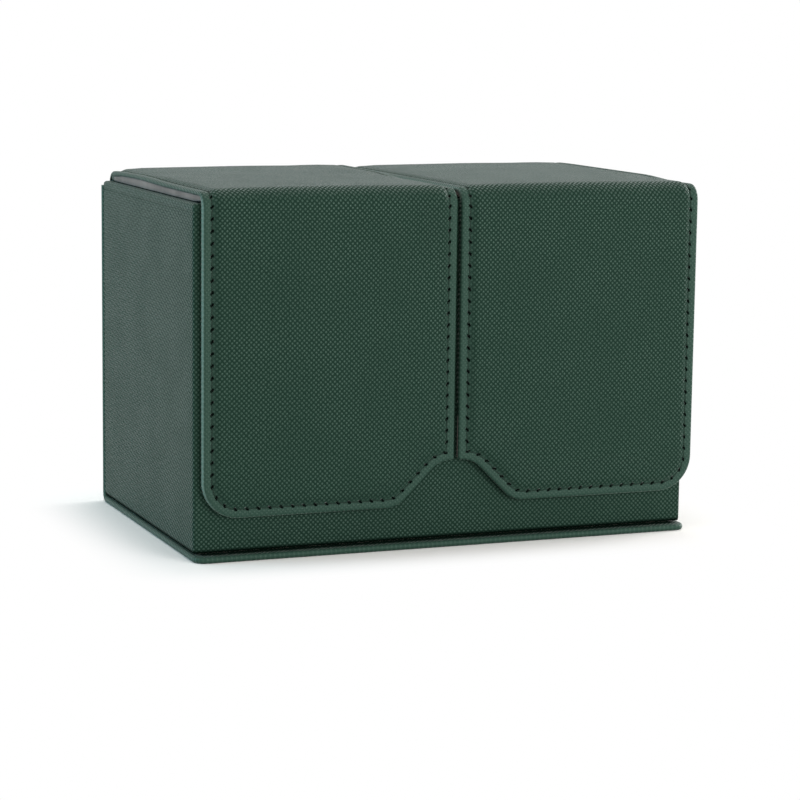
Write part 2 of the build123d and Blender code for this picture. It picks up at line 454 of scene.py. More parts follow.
@dataclass(frozen=True)
class Microfibre(Finish):
    """Brushed polyester microfibre glued to the inner side of every panel.

    It gives the eye a soft mauve grey that never shines, cloudy where the nap was
    stroked, with a pale fuzz at a grazing angle.
    """

    name: str = "mauve_microfibre"
    dark: str = "#554a46"
    light: str = "#7c706b"
    nap: float = 0.35  # length of the nap's tufts
    stroke: float = 9.0  # size of the stroked clouds
    cloudiness: float = 0.45  # share of the clouds; the rest is tufts
    contrast: tuple[float, float] = (0.34, 0.66)  # noise of the dark and of the light
    fuzz_height: float = 0.08
    fuzz_strength: float = 0.6
    roughness: float = 0.95
    ior: float = 1.5
    specular: float = 0.15
    sheen: float = 0.25
    sheen_roughness: float = 0.5

    def shader(self, m: bpy.types.Material) -> bpy.types.Node:
        """Adds the stroked nap; its pattern follows the grain UV map.

        Args:
            m: material that holds the nodes.

        Returns:
            The shader.
        """
        grain = add_node(m, "UVMap", uv_map=GRAIN)
        tufts, clouds = (
            add_node(
                m,
                "TexNoise",
                {"Vector": grain, "Scale": 1 / size, "Detail": detail},
                noise_dimensions="2D",
            )
            for size, detail in ((self.nap, 3.0), (self.stroke, 2.0))
        )
        both = add_node(m, "Mix", (self.cloudiness, tufts, clouds), data_type="FLOAT")
        share = add_node(m, "MapRange", (both, *self.contrast))
        shades = (share, linear(self.dark), linear(self.light))
        fuzz = {
            "Height": tufts,
            "Strength": self.fuzz_strength,
            "Distance": self.fuzz_height * MM,
        }
        surface = {
            "Base Color": add_node(m, "Mix", shades, data_type="RGBA"),
            "Roughness": self.roughness,
            "IOR": self.ior,
            "Specular IOR Level": self.specular,
            "Sheen Weight": self.sheen,
            "Sheen Roughness": self.sheen_roughness,
            "Normal": add_node(m, "Bump", fuzz),
        }
        return add_node(m, "BsdfPrincipled", surface)


@dataclass(frozen=True)
class Greyboard(Finish):
    """Millboard pressed from waste paper, the stiff core of every panel.

    It gives the eye a flat warm grey with darker fibres and specks.
    """

    name: str = "greyboard"
    pulp: str = "#8d887e"
    fibre: str = "#6b675f"
    fibre_length: float = 2.4
    curl: float = 1.5  # how much the fibres wind
    contrast: tuple[float, float] = (0.35, 0.62)  # noise of the fibres and of the pulp
    felt_height: float = 0.05
    felt_strength: float = 0.4
    roughness: float = 0.9

    def shader(self, m: bpy.types.Material) -> bpy.types.Node:
        """Adds the fibres, laid out in the solids' own millimetres.

        Args:
            m: material that holds the nodes.

        Returns:
            The shader.
        """
        felting = {
            "Vector": add_node(m, "TexCoord").outputs["Object"],
            "Scale": 1 / (self.fibre_length * MM),
            "Detail": 6.0,
            "Distortion": self.curl,
        }
        fibres = add_node(m, "TexNoise", felting)
        share = add_node(m, "MapRange", (fibres, *self.contrast))
        shades = (share, linear(self.fibre), linear(self.pulp))
        felt = {
            "Height": fibres,
            "Strength": self.felt_strength,
            "Distance": self.felt_height * MM,
        }
        surface = {
            "Base Color": add_node(m, "Mix", shades, data_type="RGBA"),
            "Roughness": self.roughness,
            "Normal": add_node(m, "Bump", felt),
        }
        return add_node(m, "BsdfPrincipled", surface)


@dataclass(frozen=True)
class WaxedThread(Finish):
    """Bonded polyester sewing thread, two plies twisted and waxed.

    It gives the eye a short dark green cord, sunk into the leather, with a dull gloss.
    """

    name: str = "waxed_polyester_thread"
    # the colour follows the plies' height: painted shade in the grooves between them, painted light
    # on their crests
    shade: str = "#12231b"
    bright: str = "#263c32"
    twist: float = 0.32  # length of one turn of the two plies
    lay: float = math.radians(35)  # lean of the plies
    ply_height: float = 0.05
    ply_strength: float = 0.5
    roughness: float = 0.7
    ior: float = 1.54
    specular: float = 0.15

    def shader(self, m: bpy.types.Material) -> bpy.types.Node:
        """Adds the twisted plies; the grain UV map runs along each stitch.

        Args:
            m: material that holds the nodes.

        Returns:
            The shader.
        """
        along = {"Vector": add_node(m, "UVMap", uv_map=GRAIN), "Rotation": (0.0, 0.0, self.lay)}
        turns = {
            "Vector": add_node(m, "Mapping", along),
            "Scale": 1 / self.twist,
            "Distortion": 0.0,
        }
        waves = add_node(m, "TexWave", turns, wave_type="BANDS", bands_direction="X")
        plies = waves.outputs["Fac"]
        shades = (plies, linear(self.shade), linear(self.bright))
        cord = {
            "Height": plies,
            "Strength": self.ply_strength,
            "Distance": self.ply_height * MM,
        }
        surface = {
            "Base Color": add_node(m, "Mix", shades, data_type="RGBA"),
            "Roughness": self.roughness,
            "IOR": self.ior,
            "Specular IOR Level": self.specular,
            "Normal": add_node(m, "Bump", cord),
        }
        return add_node(m, "BsdfPrincipled", surface)


@dataclass(frozen=True)
class NickelPlate(Finish):
    """Neodymium disc with a barrel-plated nickel skin.

    It gives the eye a bright warm metal, clouded by the tumbling in the barrel.
    """

    name: str = "nickel_plate"
    metal: str = "#c8c2b4"
    cloud: float = 1.5
    smoothest: float = 0.18
    roughest: float = 0.43

    def shader(self, m: bpy.types.Material) -> bpy.types.Node:
        """Adds the clouded metal, laid out in the solids' own millimetres.

        Args:
            m: material that holds the nodes.

        Returns:
            The shader.
        """
        place = add_node(m, "TexCoord").outputs["Object"]
        tumbling = {"Vector": place, "Scale": 1 / (self.cloud * MM), "Detail": 4.0}
        clouds = (add_node(m, "TexNoise", tumbling), 0.0, 1.0, self.smoothest, self.roughest)
        surface = {
            "Base Color": linear(self.metal),
            "Metallic": 1.0,
            "Roughness": add_node(m, "MapRange", clouds),
        }
        return add_node(m, "BsdfPrincipled", surface)


@dataclass(frozen=True)
class StudioPaper(Finish):
    """White paper under the product.

    It gives the eye a white ground that only the product's own soft shadow darkens.
    """

    middle: tuple[float, float]
    half_size: tuple[float, float]
    name: str = "studio_paper"
    white: str = "#f6f4f1"
    shadow_reach: float = 27.0  # distance from the product at which the paper is plain white

    def shader(self, m: bpy.types.Material) -> bpy.types.Node:
        """Adds matt paper that turns plain white away from the product.

        Args:
            m: material that holds the nodes.

        Returns:
            The shader.
        """
        lit = add_node(m, "Math", (self._away(m), seen_directly(m)), operation="MULTIPLY")
        paper = add_node(m, "BsdfDiffuse", (linear(self.white),))
        plain = add_node(m, "Emission", (linear("#ffffff"), 1.0))
        return add_node(m, "MixShader", (lit, paper, plain))

    def _away(self, m: bpy.types.Material) -> bpy.types.Node:
        """Adds the distance from the product's footprint: 0 beside it, 1 at the reach.

        Args:
            m: material that holds the nodes.

        Returns:
            A node that gives the share.
        """
        middle = (self.middle[0] * MM, self.middle[1] * MM, 0.0)
        half_size = (self.half_size[0] * MM, self.half_size[1] * MM, 0.0)
        way = add_node(m, "TexCoord").outputs["Object"]
        way = add_node(m, "VectorMath", (way, middle), operation="SUBTRACT")
        way = add_node(m, "VectorMath", (way,), operation="ABSOLUTE")
        way = add_node(m, "VectorMath", (way, half_size), operation="SUBTRACT")
        way = add_node(m, "VectorMath", (way, (0.0, 0.0, 0.0)), operation="MAXIMUM")
        way = add_node(m, "VectorMath", (way,), operation="LENGTH")
        reach = (way, 0.0, self.shadow_reach * MM)
        return add_node(m, "MapRange", reach, interpolation_type="SMOOTHSTEP")


@dataclass(frozen=True)
class Finishes:
    """Every material of the box, made once."""

    leather: bpy.types.Material = field(
        default_factory=lambda: EmbossedLeatherette().material()
    )
    sewn_leather: bpy.types.Material = field(
        default_factory=lambda: EmbossedLeatherette(
            name="sewn_leatherette", holes=NeedleHoles()
        ).material()
    )
    lining: bpy.types.Material = field(default_factory=lambda: Microfibre().material())
    board: bpy.types.Material = field(default_factory=lambda: Greyboard().material())
    thread: bpy.types.Material = field(default_factory=lambda: WaxedThread().material())
    nickel: bpy.types.Material = field(default_factory=lambda: NickelPlate().material())


# ---------------------------------------------------------------- meshes
@dataclass
class Shell:
    """Points and faces of a piece before it becomes a mesh, in millimetres.

    points: one row of X, Y and Z for each point.
    faces: point numbers of each face.
    grain: place of each point on the flat material, in millimetres.
    pressed: how flat the grain was pressed at each point.
    cut: how much of the pale edge shows at each point: painted highlight on a folded edge, the
    cloth back on a cut one.
    crease_shade: how deep in a crease each point lies, where shade is painted.
    seam: for a sewn sheet, the place of each point along and beside the seam.
    flat_faces: numbers of the faces that end the piece with a sharp cut.
    """

    points: np.ndarray
    faces: list[list[int]]
    grain: np.ndarray
    pressed: Optional[np.ndarray] = None
    cut: Optional[np.ndarray] = None
    crease_shade: Optional[np.ndarray] = None
    seam: Optional[np.ndarray] = None
    flat_faces: Sequence[int] = ()

    def build(self, name: str) -> bpy.types.Object:
        """Makes the object, with welded points, outward faces and smooth shading.

        Args:
            name: name of the piece.

        Returns:
            The linked object.
        """
        mesh = bpy.data.meshes.new(name)
        mesh.from_pydata((np.asarray(self.points) * MM).tolist(), [], self.faces)
        corners = np.zeros(len(mesh.loops), np.int32)
        mesh.loops.foreach_get("vertex_index", corners)
        for map_name, places in ((GRAIN, self.grain), (SEAM, self.seam)):
            if places is not None:
                layer = mesh.uv_layers.new(name=map_name)
                flat = np.asarray(places, np.float32)[corners].ravel()
                layer.data.foreach_set("uv", flat)
        marks = ((PRESSED, self.pressed), (CUT_EDGE_AND_HIGHLIGHT, self.cut), (CREASE_SHADE, self.crease_shade))
        for mark, values in marks:
            if values is not None:
                attribute = mesh.attributes.new(mark, "FLOAT", "POINT")
                attribute.data.foreach_set("value", np.asarray(values, np.float32))
        self._tidy(mesh)
        piece = bpy.data.objects.new(name, mesh)
        bpy.context.scene.collection.objects.link(piece)
        return piece

    def _tidy(self, mesh: bpy.types.Mesh) -> None:
        """Welds the points, turns the faces outward and sets the shading.

        Args:
            mesh: the raw mesh, changed in place.
        """
        work = bmesh.new()
        work.from_mesh(mesh)
        work.faces.ensure_lookup_table()
        cuts = [work.faces[number] for number in self.flat_faces]
        for face in work.faces:
            face.smooth = True
        for face in cuts:
            face.smooth = False
            for edge in face.edges:
                edge.smooth = False
        bmesh.ops.remove_doubles(work, verts=work.verts, dist=WELD_DISTANCE)
        bmesh.ops.recalc_face_normals(work, faces=work.faces)
        work.to_mesh(mesh)
        work.free()


def show(
    piece: bpy.types.Object,
    material: bpy.types.Material,
    replaced: Sequence[str] = (),
) -> bpy.types.Object:
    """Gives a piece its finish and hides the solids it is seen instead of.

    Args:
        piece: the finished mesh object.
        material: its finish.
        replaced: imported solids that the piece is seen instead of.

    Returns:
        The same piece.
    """
    piece.data.materials.append(material)
    if replaced:
        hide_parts(*replaced)
    LOG.info("%s: %d faces", piece.name, len(piece.data.polygons))
    return piece


def tube(loops: Sequence[np.ndarray]) -> tuple[np.ndarray, list[list[int]]]:
    """Joins closed loops of equal length into a tube with both ends filled.

    Args:
        loops: the loops in order, each an array of points.

    Returns:
        The points and the faces; the two ends are the last faces.
    """
    count = len(loops[0])
    faces = []
    for row in range(len(loops) - 1):
        a, b = row * count, (row + 1) * count
        for i in range(count):
            j = (i + 1) % count
            faces.append([a + i, a + j, b + j, b + i])
    faces.append(list(range(count)))
    faces.append(list(range((len(loops) - 1) * count, len(loops) * count)))
    return np.concatenate(loops), faces


# ---------------------------------------------------------------- sheets with a shaped edge
@dataclass(frozen=True)
class Outline:
    """Edge of a flat sheet: straight runs joined by round corners.

    The path starts and ends on the seam, where the distance along the sheet is 0.
    corners: distance across, distance along and radius of each corner.
    """

    corners: tuple[tuple[float, float, float], ...]
    fewest_arcs: int = 4  # pieces of the smallest round corner

    def walk(self, step: float) -> tuple[np.ndarray, np.ndarray]:
        """Follows the edge.

        Args:
            step: longest distance between two points.

        Returns:
            Points on the edge and, at each, the direction into the sheet.
        """
        points, inward = [], []

        def into(direction: np.ndarray) -> np.ndarray:
            """Direction into the sheet beside a heading along its edge."""
            return np.array([direction[1], -direction[0]])

        def run(start: np.ndarray, end: np.ndarray) -> None:
            """Adds the points of a straight run.

            Args:
                start: first point.
                end: where the run ends; it gets no point.
            """
            length = float(np.linalg.norm(end - start))
            if length < TINY:
                return
            direction = (end - start) / length
            for share in np.arange(0, 1, 1 / math.ceil(length / step)):
                points.append(start + (end - start) * share)
                inward.append(into(direction))

        start = np.array(self.corners[0][:2])
        for before, corner, after in zip(self.corners, self.corners[1:], self.corners[2:]):
            here = np.array(corner[:2])
            first = here - np.array(before[:2])
            first = first / np.linalg.norm(first)
            second = np.array(after[:2]) - here
            second = second / np.linalg.norm(second)
            turn = math.acos(float(np.clip(first @ second, -1, 1)))
            hand = math.copysign(1.0, float(second @ into(first)))
            tangent = corner[2] * math.tan(turn / 2)
            run(start, here - first * tangent)
            centre = here - first * tangent + hand * corner[2] * into(first)
            pieces = max(self.fewest_arcs, math.ceil(corner[2] * turn / step))
            for angle in np.arange(pieces) * turn / pieces:
                heading = math.cos(angle) * first + math.sin(angle) * hand * into(first)
                points.append(centre - hand * corner[2] * into(heading))
                inward.append(into(heading))
            start = here + second * tangent
        end = np.array(self.corners[-1][:2])
        run(start, end)
        points.append(end)
        inward.append(inward[-1])
        return np.array(points), np.array(inward)


def distance_to_path(points: np.ndarray, path: np.ndarray) -> np.ndarray:
    """Shortest distance from each point to a path of straight runs.

    Args:
        points: the points, two values each.
        path: the corners of the path.

    Returns:
        One distance for each point.
    """
    start, run = path[:-1], np.diff(path, axis=0)
    away = points[:, None, :] - start[None, :, :]
    squares = np.maximum((run * run).sum(1), 1e-12)  # a run of no length divides by nothing
    share = (away * run).sum(2) / squares
    nearest = start + run * np.clip(share, 0, 1)[:, :, None]
    return np.linalg.norm(points[:, None, :] - nearest, axis=2).min(1)


class Sheet:
    """A flat sheet meshed as rings along its shaped edge and a grid inside them."""

    DENSE = 0.25  # step of the path that every other length is read from
    CLOSER = 3  # how many times closer the grid is at the bend
    CROSSED = 0.01  # how much nearer the edge a point of a ring lies where the ring crosses
    PARALLEL = 1e-3  # determinant under which two directions count as parallel

    def __init__(
        self,
        outline: Outline,
        row: float,
        step: float,
        keep_every: int,
        bend: tuple[float, float],
    ) -> None:
        """Lays the points along the edge.

        Args:
            outline: edge of the sheet.
            row: distance in from the edge at which the points are evenly spaced.
            step: spacing of the points along that row.
            keep_every: how many points of the edge go to one of the grid.
            bend: distances along the sheet between which it bends and the grid is close.
        """
        self.path, inward = outline.walk(self.DENSE)
        on_row = self._inset(self.path, inward, row)
        length = np.concatenate([[0], np.cumsum(np.linalg.norm(np.diff(on_row, axis=0), axis=1))])
        self.row_length = float(length[-1])
        count = round(self.row_length / step)
        self.step = self.row_length / count
        numbers = np.arange(len(self.path))
        even = np.interp(np.arange(count + 1) * self.step, length, numbers)
        # Round a tight corner the row stands still while the edge goes on: its points all stay.
        still = np.where(np.diff(length) < self.DENSE / 10)[0]
        places = np.unique(np.round(np.concatenate([even, still]), 6))
        self.points = np.stack([np.interp(places, numbers, self.path[:, k]) for k in (0, 1)], 1)
        inward = np.stack([np.interp(places, numbers, inward[:, k]) for k in (0, 1)], 1)
        self.inward = inward / np.linalg.norm(inward, axis=1)[:, None]
        self.along_row = np.interp(places, numbers, length)
        self.bend = bend
        self._choose_kept(keep_every)

    def _choose_kept(self, keep_every: int) -> None:
        """Picks the edge points that the inner grid keeps, as many on one side as the other.

        Args:
            keep_every: how many points of the edge go to one of the grid.
        """
        last = len(self.points) - 1
        # Both sides end where the edge turns to face the sheet's far end more than its sides.
        facing_end = self.inward[:, 1] < -math.sqrt(0.5)
        corner, other_corner = int(np.argmax(facing_end)), int(np.argmax(facing_end[::-1]))
        along = self.points[:, 1]
        close = (along > self.bend[0]) & (along < self.bend[1])
        side = [
            i
            for i in range(corner)
            if i % keep_every == 0 or (close[i] and i % max(1, keep_every // self.CLOSER) == 0)
        ]
        side.append(corner)
        bent = int(np.argmax(along > self.bend[1]))
        squeeze = (other_corner - bent) / (corner - bent)
        opposite = [i if i < bent else bent + round((i - bent) * squeeze) for i in side]
        end = last - other_corner - keep_every // 2
        middle = list(range(corner + keep_every, end, keep_every))
        self.kept = side + middle + [last - i for i in reversed(opposite)]
        self.side_count = len(side) - 1

    def _inset(self, points: np.ndarray, inward: np.ndarray, distance: float) -> np.ndarray:
        """Moves edge points into the sheet, and draws crossing parts to where they meet.

        Args:
            points: points on the edge.
            inward: direction into the sheet at each.
            distance: how far they move.

        Returns:
            The moved points.
        """
        moved = points + inward * distance
        if distance == 0:
            return moved
        crossing = distance_to_path(moved, self.path) < distance - self.CROSSED
        number = 0
        while number < len(moved):
            if not crossing[number]:
                number += 1
                continue
            first = number
            while number < len(moved) and crossing[number]:
                number += 1
            if first == 0 or number == len(moved):
                continue
            a, b = moved[first - 1], moved[number]
            u, v = inward[first - 1], inward[number]
            sides = np.array([u, v])
            if abs(np.linalg.det(sides)) < self.PARALLEL:
                meeting = (a + b) / 2
            else:
                meeting = np.linalg.solve(sides, np.array([u @ a, v @ b]))
            moved[first:number] = meeting
        return moved

    def ring(self, distance: float) -> np.ndarray:
        """Edge points moved into the sheet by a distance."""
        return self._inset(self.points, self.inward, distance)

    def face(self, fine: Sequence[float], coarse: Sequence[float]) -> "SheetFace":
        """Meshes one face of the sheet.

        Args:
            fine: depths of the rings that keep every edge point.
            coarse: depths of the rings that keep only the grid's points.

        Returns:
            The meshed face.
        """
        flat: list[np.ndarray] = []
        rings: list[list[int]] = []
        faces: list[list[int]] = []

        def add(points: np.ndarray, depth: float) -> list[int]:
            """Adds points at one depth.

            Args:
                points: across and along of each point.
                depth: their distance in from the edge.

            Returns:
                Their numbers.
            """
            start = sum(len(part) for part in flat)
            flat.append(np.column_stack([points, np.full(len(points), depth)]))
            return list(range(start, start + len(points)))

        for depth in fine:
            rings.append(add(self.ring(depth), depth))
        for depth in coarse:
            rings.append(add(self.ring(depth)[self.kept], depth))
        for number, (outer, inner) in enumerate(zip(rings, rings[1:])):
            if number == len(fine) - 1:
                for k, (a, b) in enumerate(zip(self.kept, self.kept[1:])):
                    faces.append(outer[a : b + 1] + [inner[k + 1], inner[k]])
            else:
                for i in range(len(outer) - 1):
                    faces.append([outer[i], outer[i + 1], inner[i + 1], inner[i]])
        grid_points, grid = self._grid(rings[-1], flat[-1])
        flat.append(np.column_stack([grid_points, np.full(len(grid_points), coarse[-1])]))
        for upper, lower in zip(grid, grid[1:]):
            for i in range(len(upper) - 1):
                faces.append([upper[i], upper[i + 1], lower[i + 1], lower[i]])
        seam = [ring[0] for ring in rings] + grid[0][1:-1] + [ring[-1] for ring in reversed(rings)]
        return SheetFace(np.concatenate(flat), faces, rings, seam)

    def _grid(self, ring: list[int], flat: np.ndarray) -> tuple[np.ndarray, list[list[int]]]:
        """Fills the last ring with rows that run straight across until past the bend.

        Args:
            ring: numbers of the last ring's points.
            flat: across, along and depth of each.

        Returns:
            The points inside the ring, and the rows of point numbers with their ends on it.
        """
        place = flat[:, :2]
        side, last = self.side_count, len(ring) - 1
        bottom = np.arange(side, last - side + 1)
        share = place[bottom, 0] - place[bottom[0], 0]
        share = share / share[-1]
        sag = place[bottom, 1] - mixed(place[bottom[0], 1], place[bottom[-1], 1], share)
        start = ring[-1] + 1
        points, grid = [], []
        for r in range(side + 1):
            left, right = place[r], place[last - r]
            if r == side:
                grid.append([ring[k] for k in bottom])
                continue
            past = smoothstep(left[1] - self.bend[1], 0.0, place[side, 1] - self.bend[1])
            row = [ring[r]]
            for k in range(1, len(bottom) - 1):
                spot = left + (right - left) * share[k]
                points.append([spot[0], spot[1] + float(past) * sag[k]])
                row.append(start + len(points) - 1)
            grid.append(row + [ring[last - r]])
        return np.array(points), grid

    def shell(
        self,
        top: tuple[Sequence[float], Sequence[float]],
        under: tuple[Sequence[float], Sequence[float]],
    ) -> "SheetShell":
        """Meshes both faces of the sheet, its edge and its cut end at the seam.

        Args:
            top: fine and coarse ring depths of the upper face.
            under: fine and coarse ring depths of the lower face.

        Returns:
            The closed shell, still flat.
        """
        upper, lower = self.face(*top), self.face(*under)
        shift = len(upper.flat)
        faces = upper.faces + [[i + shift for i in reversed(f)] for f in lower.faces]
        edge_a, edge_b = upper.rings[0], [i + shift for i in lower.rings[0]]
        for i in range(len(edge_a) - 1):
            faces.append([edge_a[i + 1], edge_a[i], edge_b[i], edge_b[i + 1]])
        faces.append(upper.seam + [i + shift for i in reversed(lower.seam)])
        is_top = np.arange(shift + len(lower.flat)) < shift
        return SheetShell(
            np.concatenate([upper.flat, lower.flat]), faces, is_top, upper.rings
        )


@dataclass
class SheetFace:
    """One meshed face: across, along and depth of each point, faces, rings and seam."""

    flat: np.ndarray
    faces: list[list[int]]
    rings: list[list[int]]
    seam: list[int]


@dataclass
class SheetShell:
    """A closed sheet, still flat: its last face is the cut end at the seam."""

    flat: np.ndarray
    faces: list[list[int]]
    is_top: np.ndarray
    top_rings: list[list[int]]


# ---------------------------------------------------------------- lids and flaps
@dataclass(frozen=True)
class LidPlaces:
    """Where one lid and its flap lie, in millimetres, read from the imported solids."""

    side: Side

    @property
    def outer(self) -> float:
        """X of the lid's edge at the side of the box."""
        return float(span(self.solid("lid_lining"))[self.side.value > 0][0])

    @property
    def inner(self) -> float:
        """X of the lid's edge beside the other lid."""
        return float(span(self.solid("lid_lining"))[self.side.value < 0][0])

    def solid(self, piece: str) -> str:
        """Name of one of this lid's solids."""
        return f"{self.side.word}_{piece}"


@dataclass
class LidAndFlap:
    """One lid with its flap: laminate of leather, board and lining, sewn round its edge.

    Heights are measured from the middle line of the front bend: a point at height 6 lies
    6 mm above that line on the lid, and 6 mm in front of it on the flap.
    """

    side: Side
    finishes: Finishes

    # outline of the flap's free end
    corner_radius: float = 10.5
    notch_foot: float = 17.5
    notch_shoulder: float = 4.5
    notch_height: float = 13.0
    notch_foot_radius: float = 8.5
    notch_head_radius: float = 8.5
    notch_tip_radius: float = 0.9

    # heights over the bend's middle line
    lid_lining_under: float = 1.55
    flap_lining_under: float = 2.35
    lid_margin: float = 4.7
    flap_margin: float = 4.45
    shoulder: float = 5.38
    lid_lining_top: float = 3.45
    flap_lining_top: float = 3.5
    crease: float = 0.1  # dark line between the lining and the leather over it
    lid_crown: float = 0.5
    flap_crown: float = 0.3
    crown_reach: tuple[float, float] = (2.5, 9.0)  # depths between which the crown starts
    edge_radius: float = 0.7
    slope: tuple[float, float] = (2.5, 4.5)  # depths between which the margin climbs
    least_climb: float = 0.05
    rear_slope: tuple[float, float] = (4.2, 9.0)  # where it climbs on at the rear left, how wide
    highest: float = 5.97  # no part of the lid stands over this
    board_skin: float = 0.13  # leather over the lid's board where it may not show through
    board_gap: float = 0.05  # between the board and the back of the leather
    board_reach: tuple[float, float] = (3.3, 4.2)  # depths between which it climbs on the board

    # the lining and the leather turned in beside it
    lid_lining_inset: float = 0.14
    lining_step: float = 0.6  # between the points of its edge
    lining_radii: tuple[float, float] = (0.3, 0.35)  # of its upper and lower edge
    fold_clearance: float = 0.55  # how much thinner the lining is where the flap turns
    fold_thinnest: float = 1.4  # how far past the lid it is thinnest
    fold_spread: float = 4.2  # how far along the sheet that reaches
    lip_width: float = 1.0  # leather turned in round the flap, where the lining ends
    lip_edge: float = 0.15  # width of the step down at the lip's inner edge
    lip_radius: float = 0.2
    lip_clear: float = 16.0  # from the notch to where the lip beside the other flap ends
    lip_easing: float = 6.0  # radius with which the lining draws back from the edge
    lip_sweep: float = 20.0  # and with which it comes out again along the flap's foot
    cut_reach: tuple[float, float] = (0.02, 0.3)  # depths between which the pale edge fades
    pressed_reach: tuple[float, float] = (2.2, 4.2)  # and the margin pressed by the sewing
    lid_pressed: float = 0.6  # how flat the lid's margin is pressed; the flap's is at 1
    hinge_pressed: float = 0.6

    # how uneven the glued lids are: how high an edge stands up, and how the left lid bows
    right_outer_rise: float = 0.8
    right_inner_rise: float = 0.25
    left_outer_rise: float = 0.3
    left_inner_rise: float = 0.9
    bow_rise: float = 0.4
    bow_middle: float = 29.0
    bow_spread: float = 17.0
    rear_dip: float = 0.55
    right_rise_end: tuple[float, float] = (58.0, 80.0)  # lengths between which each one ends
    left_rise_end: tuple[float, float] = (30.0, 52.0)
    left_corner_end: tuple[float, float] = (0.0, 12.0)
    dip_end: tuple[float, float] = (-2.0, 10.0)
    low_rear_end: tuple[float, float] = (5.0, 45.0)  # of the lower shoulder at the left

    # sewing
    stitch_inset: float = 2.55
    stitch_pitch: float = 3.4
    parts_per_stitch: int = 6
    groove_depth: float = 0.12
    groove_width: float = 0.45
    hole_depth: float = 0.55
    hole_length: float = 0.75
    thread_radius: float = 0.21
    thread_rise: float = 0.02
    thread_slant: float = 0.16
    thread_pinch: float = 0.55  # how thin the thread is drawn in a hole
    thread_flatness: float = 0.8
    thread_loops: int = 9  # along each stitch
    thread_sides: int = 8

    # bends
    bend_length: float = 7.85  # of the sheet's middle, round the front bend
    hinge_taper: float = 16.0  # length over which the lid narrows to the hinge
    hinge_thickness: float = 1.25
    hinge_thinnest: float = 0.3
    fold_reach: tuple[float, float] = (1.6, 5.5)  # from the corner in, where the flap's fold turns
    hinge_reach: tuple[float, float] = (5.2, 0.8)  # and where the hinge turns, box side first
    binding_length: float = 9.0
    binding_skin: float = 0.06
    binding_overhang: float = 3.3  # how far it reaches behind the lid's seam
    binding_gap: float = 0.1  # from its inner end to the lid's edge
    binding_pressed: float = 0.8

    def __post_init__(self) -> None:
        """Reads the places of the solids and lays out the sheet."""
        self.places = LidPlaces(self.side)
        lid_low, lid_high = span(self.places.solid("lid_lining"))
        flap_low, flap_high = span(self.places.solid("flap_lining"))
        hinge_low, hinge_high = span(self.places.solid("hinge_leather"))
        self.outer, self.inner = self.places.outer, self.places.inner
        self.width = abs(self.inner - self.outer)
        self.fold_y, self.hinge_y = float(lid_low[1]), float(lid_high[1])
        self.bend_z = float(flap_high[2])
        self.lid_length = self.hinge_y - self.fold_y
        self.bend_end = self.lid_length + self.bend_length
        self.length = self.lid_length + self.bend_length + self.bend_z - float(flap_low[2])
        self.back_face = float(hinge_high[1])
        outer_hinge = hinge_high[0] if self.side is Side.RIGHT else hinge_low[0]
        self.taper = abs(self.outer - float(outer_hinge))
        self.board_top = float(span(self.places.solid("lid_board"))[1][2]) - self.bend_z
        self.board_front = self.fold_y - float(span(self.places.solid("flap_board"))[0][1])
        self.sheet = Sheet(
            self.outline(),
            row=self.stitch_inset,
            step=self.stitch_pitch / self.parts_per_stitch,
            keep_every=self.parts_per_stitch,
            bend=(self.lid_length - BEND_MARGIN, self.bend_end + BEND_MARGIN),
        )

    # ------------------------------------------------------------ shape
    def outline(self) -> Outline:
        """Edge of the lid and flap laid flat, from the hinge round the flap and back.

        Returns:
            The edge.
        """
        w, s = self.width, self.length
        notch_top = s - self.notch_height
        return Outline(
            (
                (0.0, 0.0, 0.0),
                (0.0, s, self.corner_radius),
                (w - self.notch_foot, s, self.notch_foot_radius),
                (w - self.notch_shoulder, notch_top, self.notch_head_radius),
                (w, notch_top, self.notch_tip_radius),
                (w, 0.0, 0.0),
            )
        )

    def lining_outline(self) -> Outline:
        """Edge of the lining: just inside the leather's, and inside the turned-in lip.

        Returns:
            The edge.
        """
        w, s, e, f = self.width, self.length, self.lid_lining_inset, self.lip_width
        start, end, easing, sweep = self.lid_length, self.bend_end, self.lip_easing, self.lip_sweep
        slant = e * math.tan(math.pi / 8)
        notch_top = s - self.notch_height - e
        return Outline(
            (
                (e, 0.0, 0.0),
                (e, start, easing),
                (f, end, easing),
                (f, s - f, self.corner_radius - f),
                (0.4 * w, s - f, sweep),
                (0.6 * w, s - e, sweep),
                (w - self.notch_foot - slant, s - e, self.notch_foot_radius - e),
                (w - self.notch_shoulder - slant, notch_top, self.notch_head_radius + e),
                (w - e, notch_top, self.notch_tip_radius - e),
                (w - e, self.lip_end + 4.0, easing),
                (w - f, self.lip_end, easing),
                (w - f, end, easing),
                (w - e, start, easing),
                (w - e, 0.0, 0.0),
            )
        )

    @property
    def lip_end(self) -> float:
        """Distance along the sheet at which the lip beside the other flap ends."""
        return self.length - self.notch_height - self.lip_clear

    def on_flap(self, along: np.ndarray) -> np.ndarray:
        """0 on the lid and 1 on the flap, with a smooth change round the bend."""
        return smoothstep(along, self.lid_length, self.bend_end)

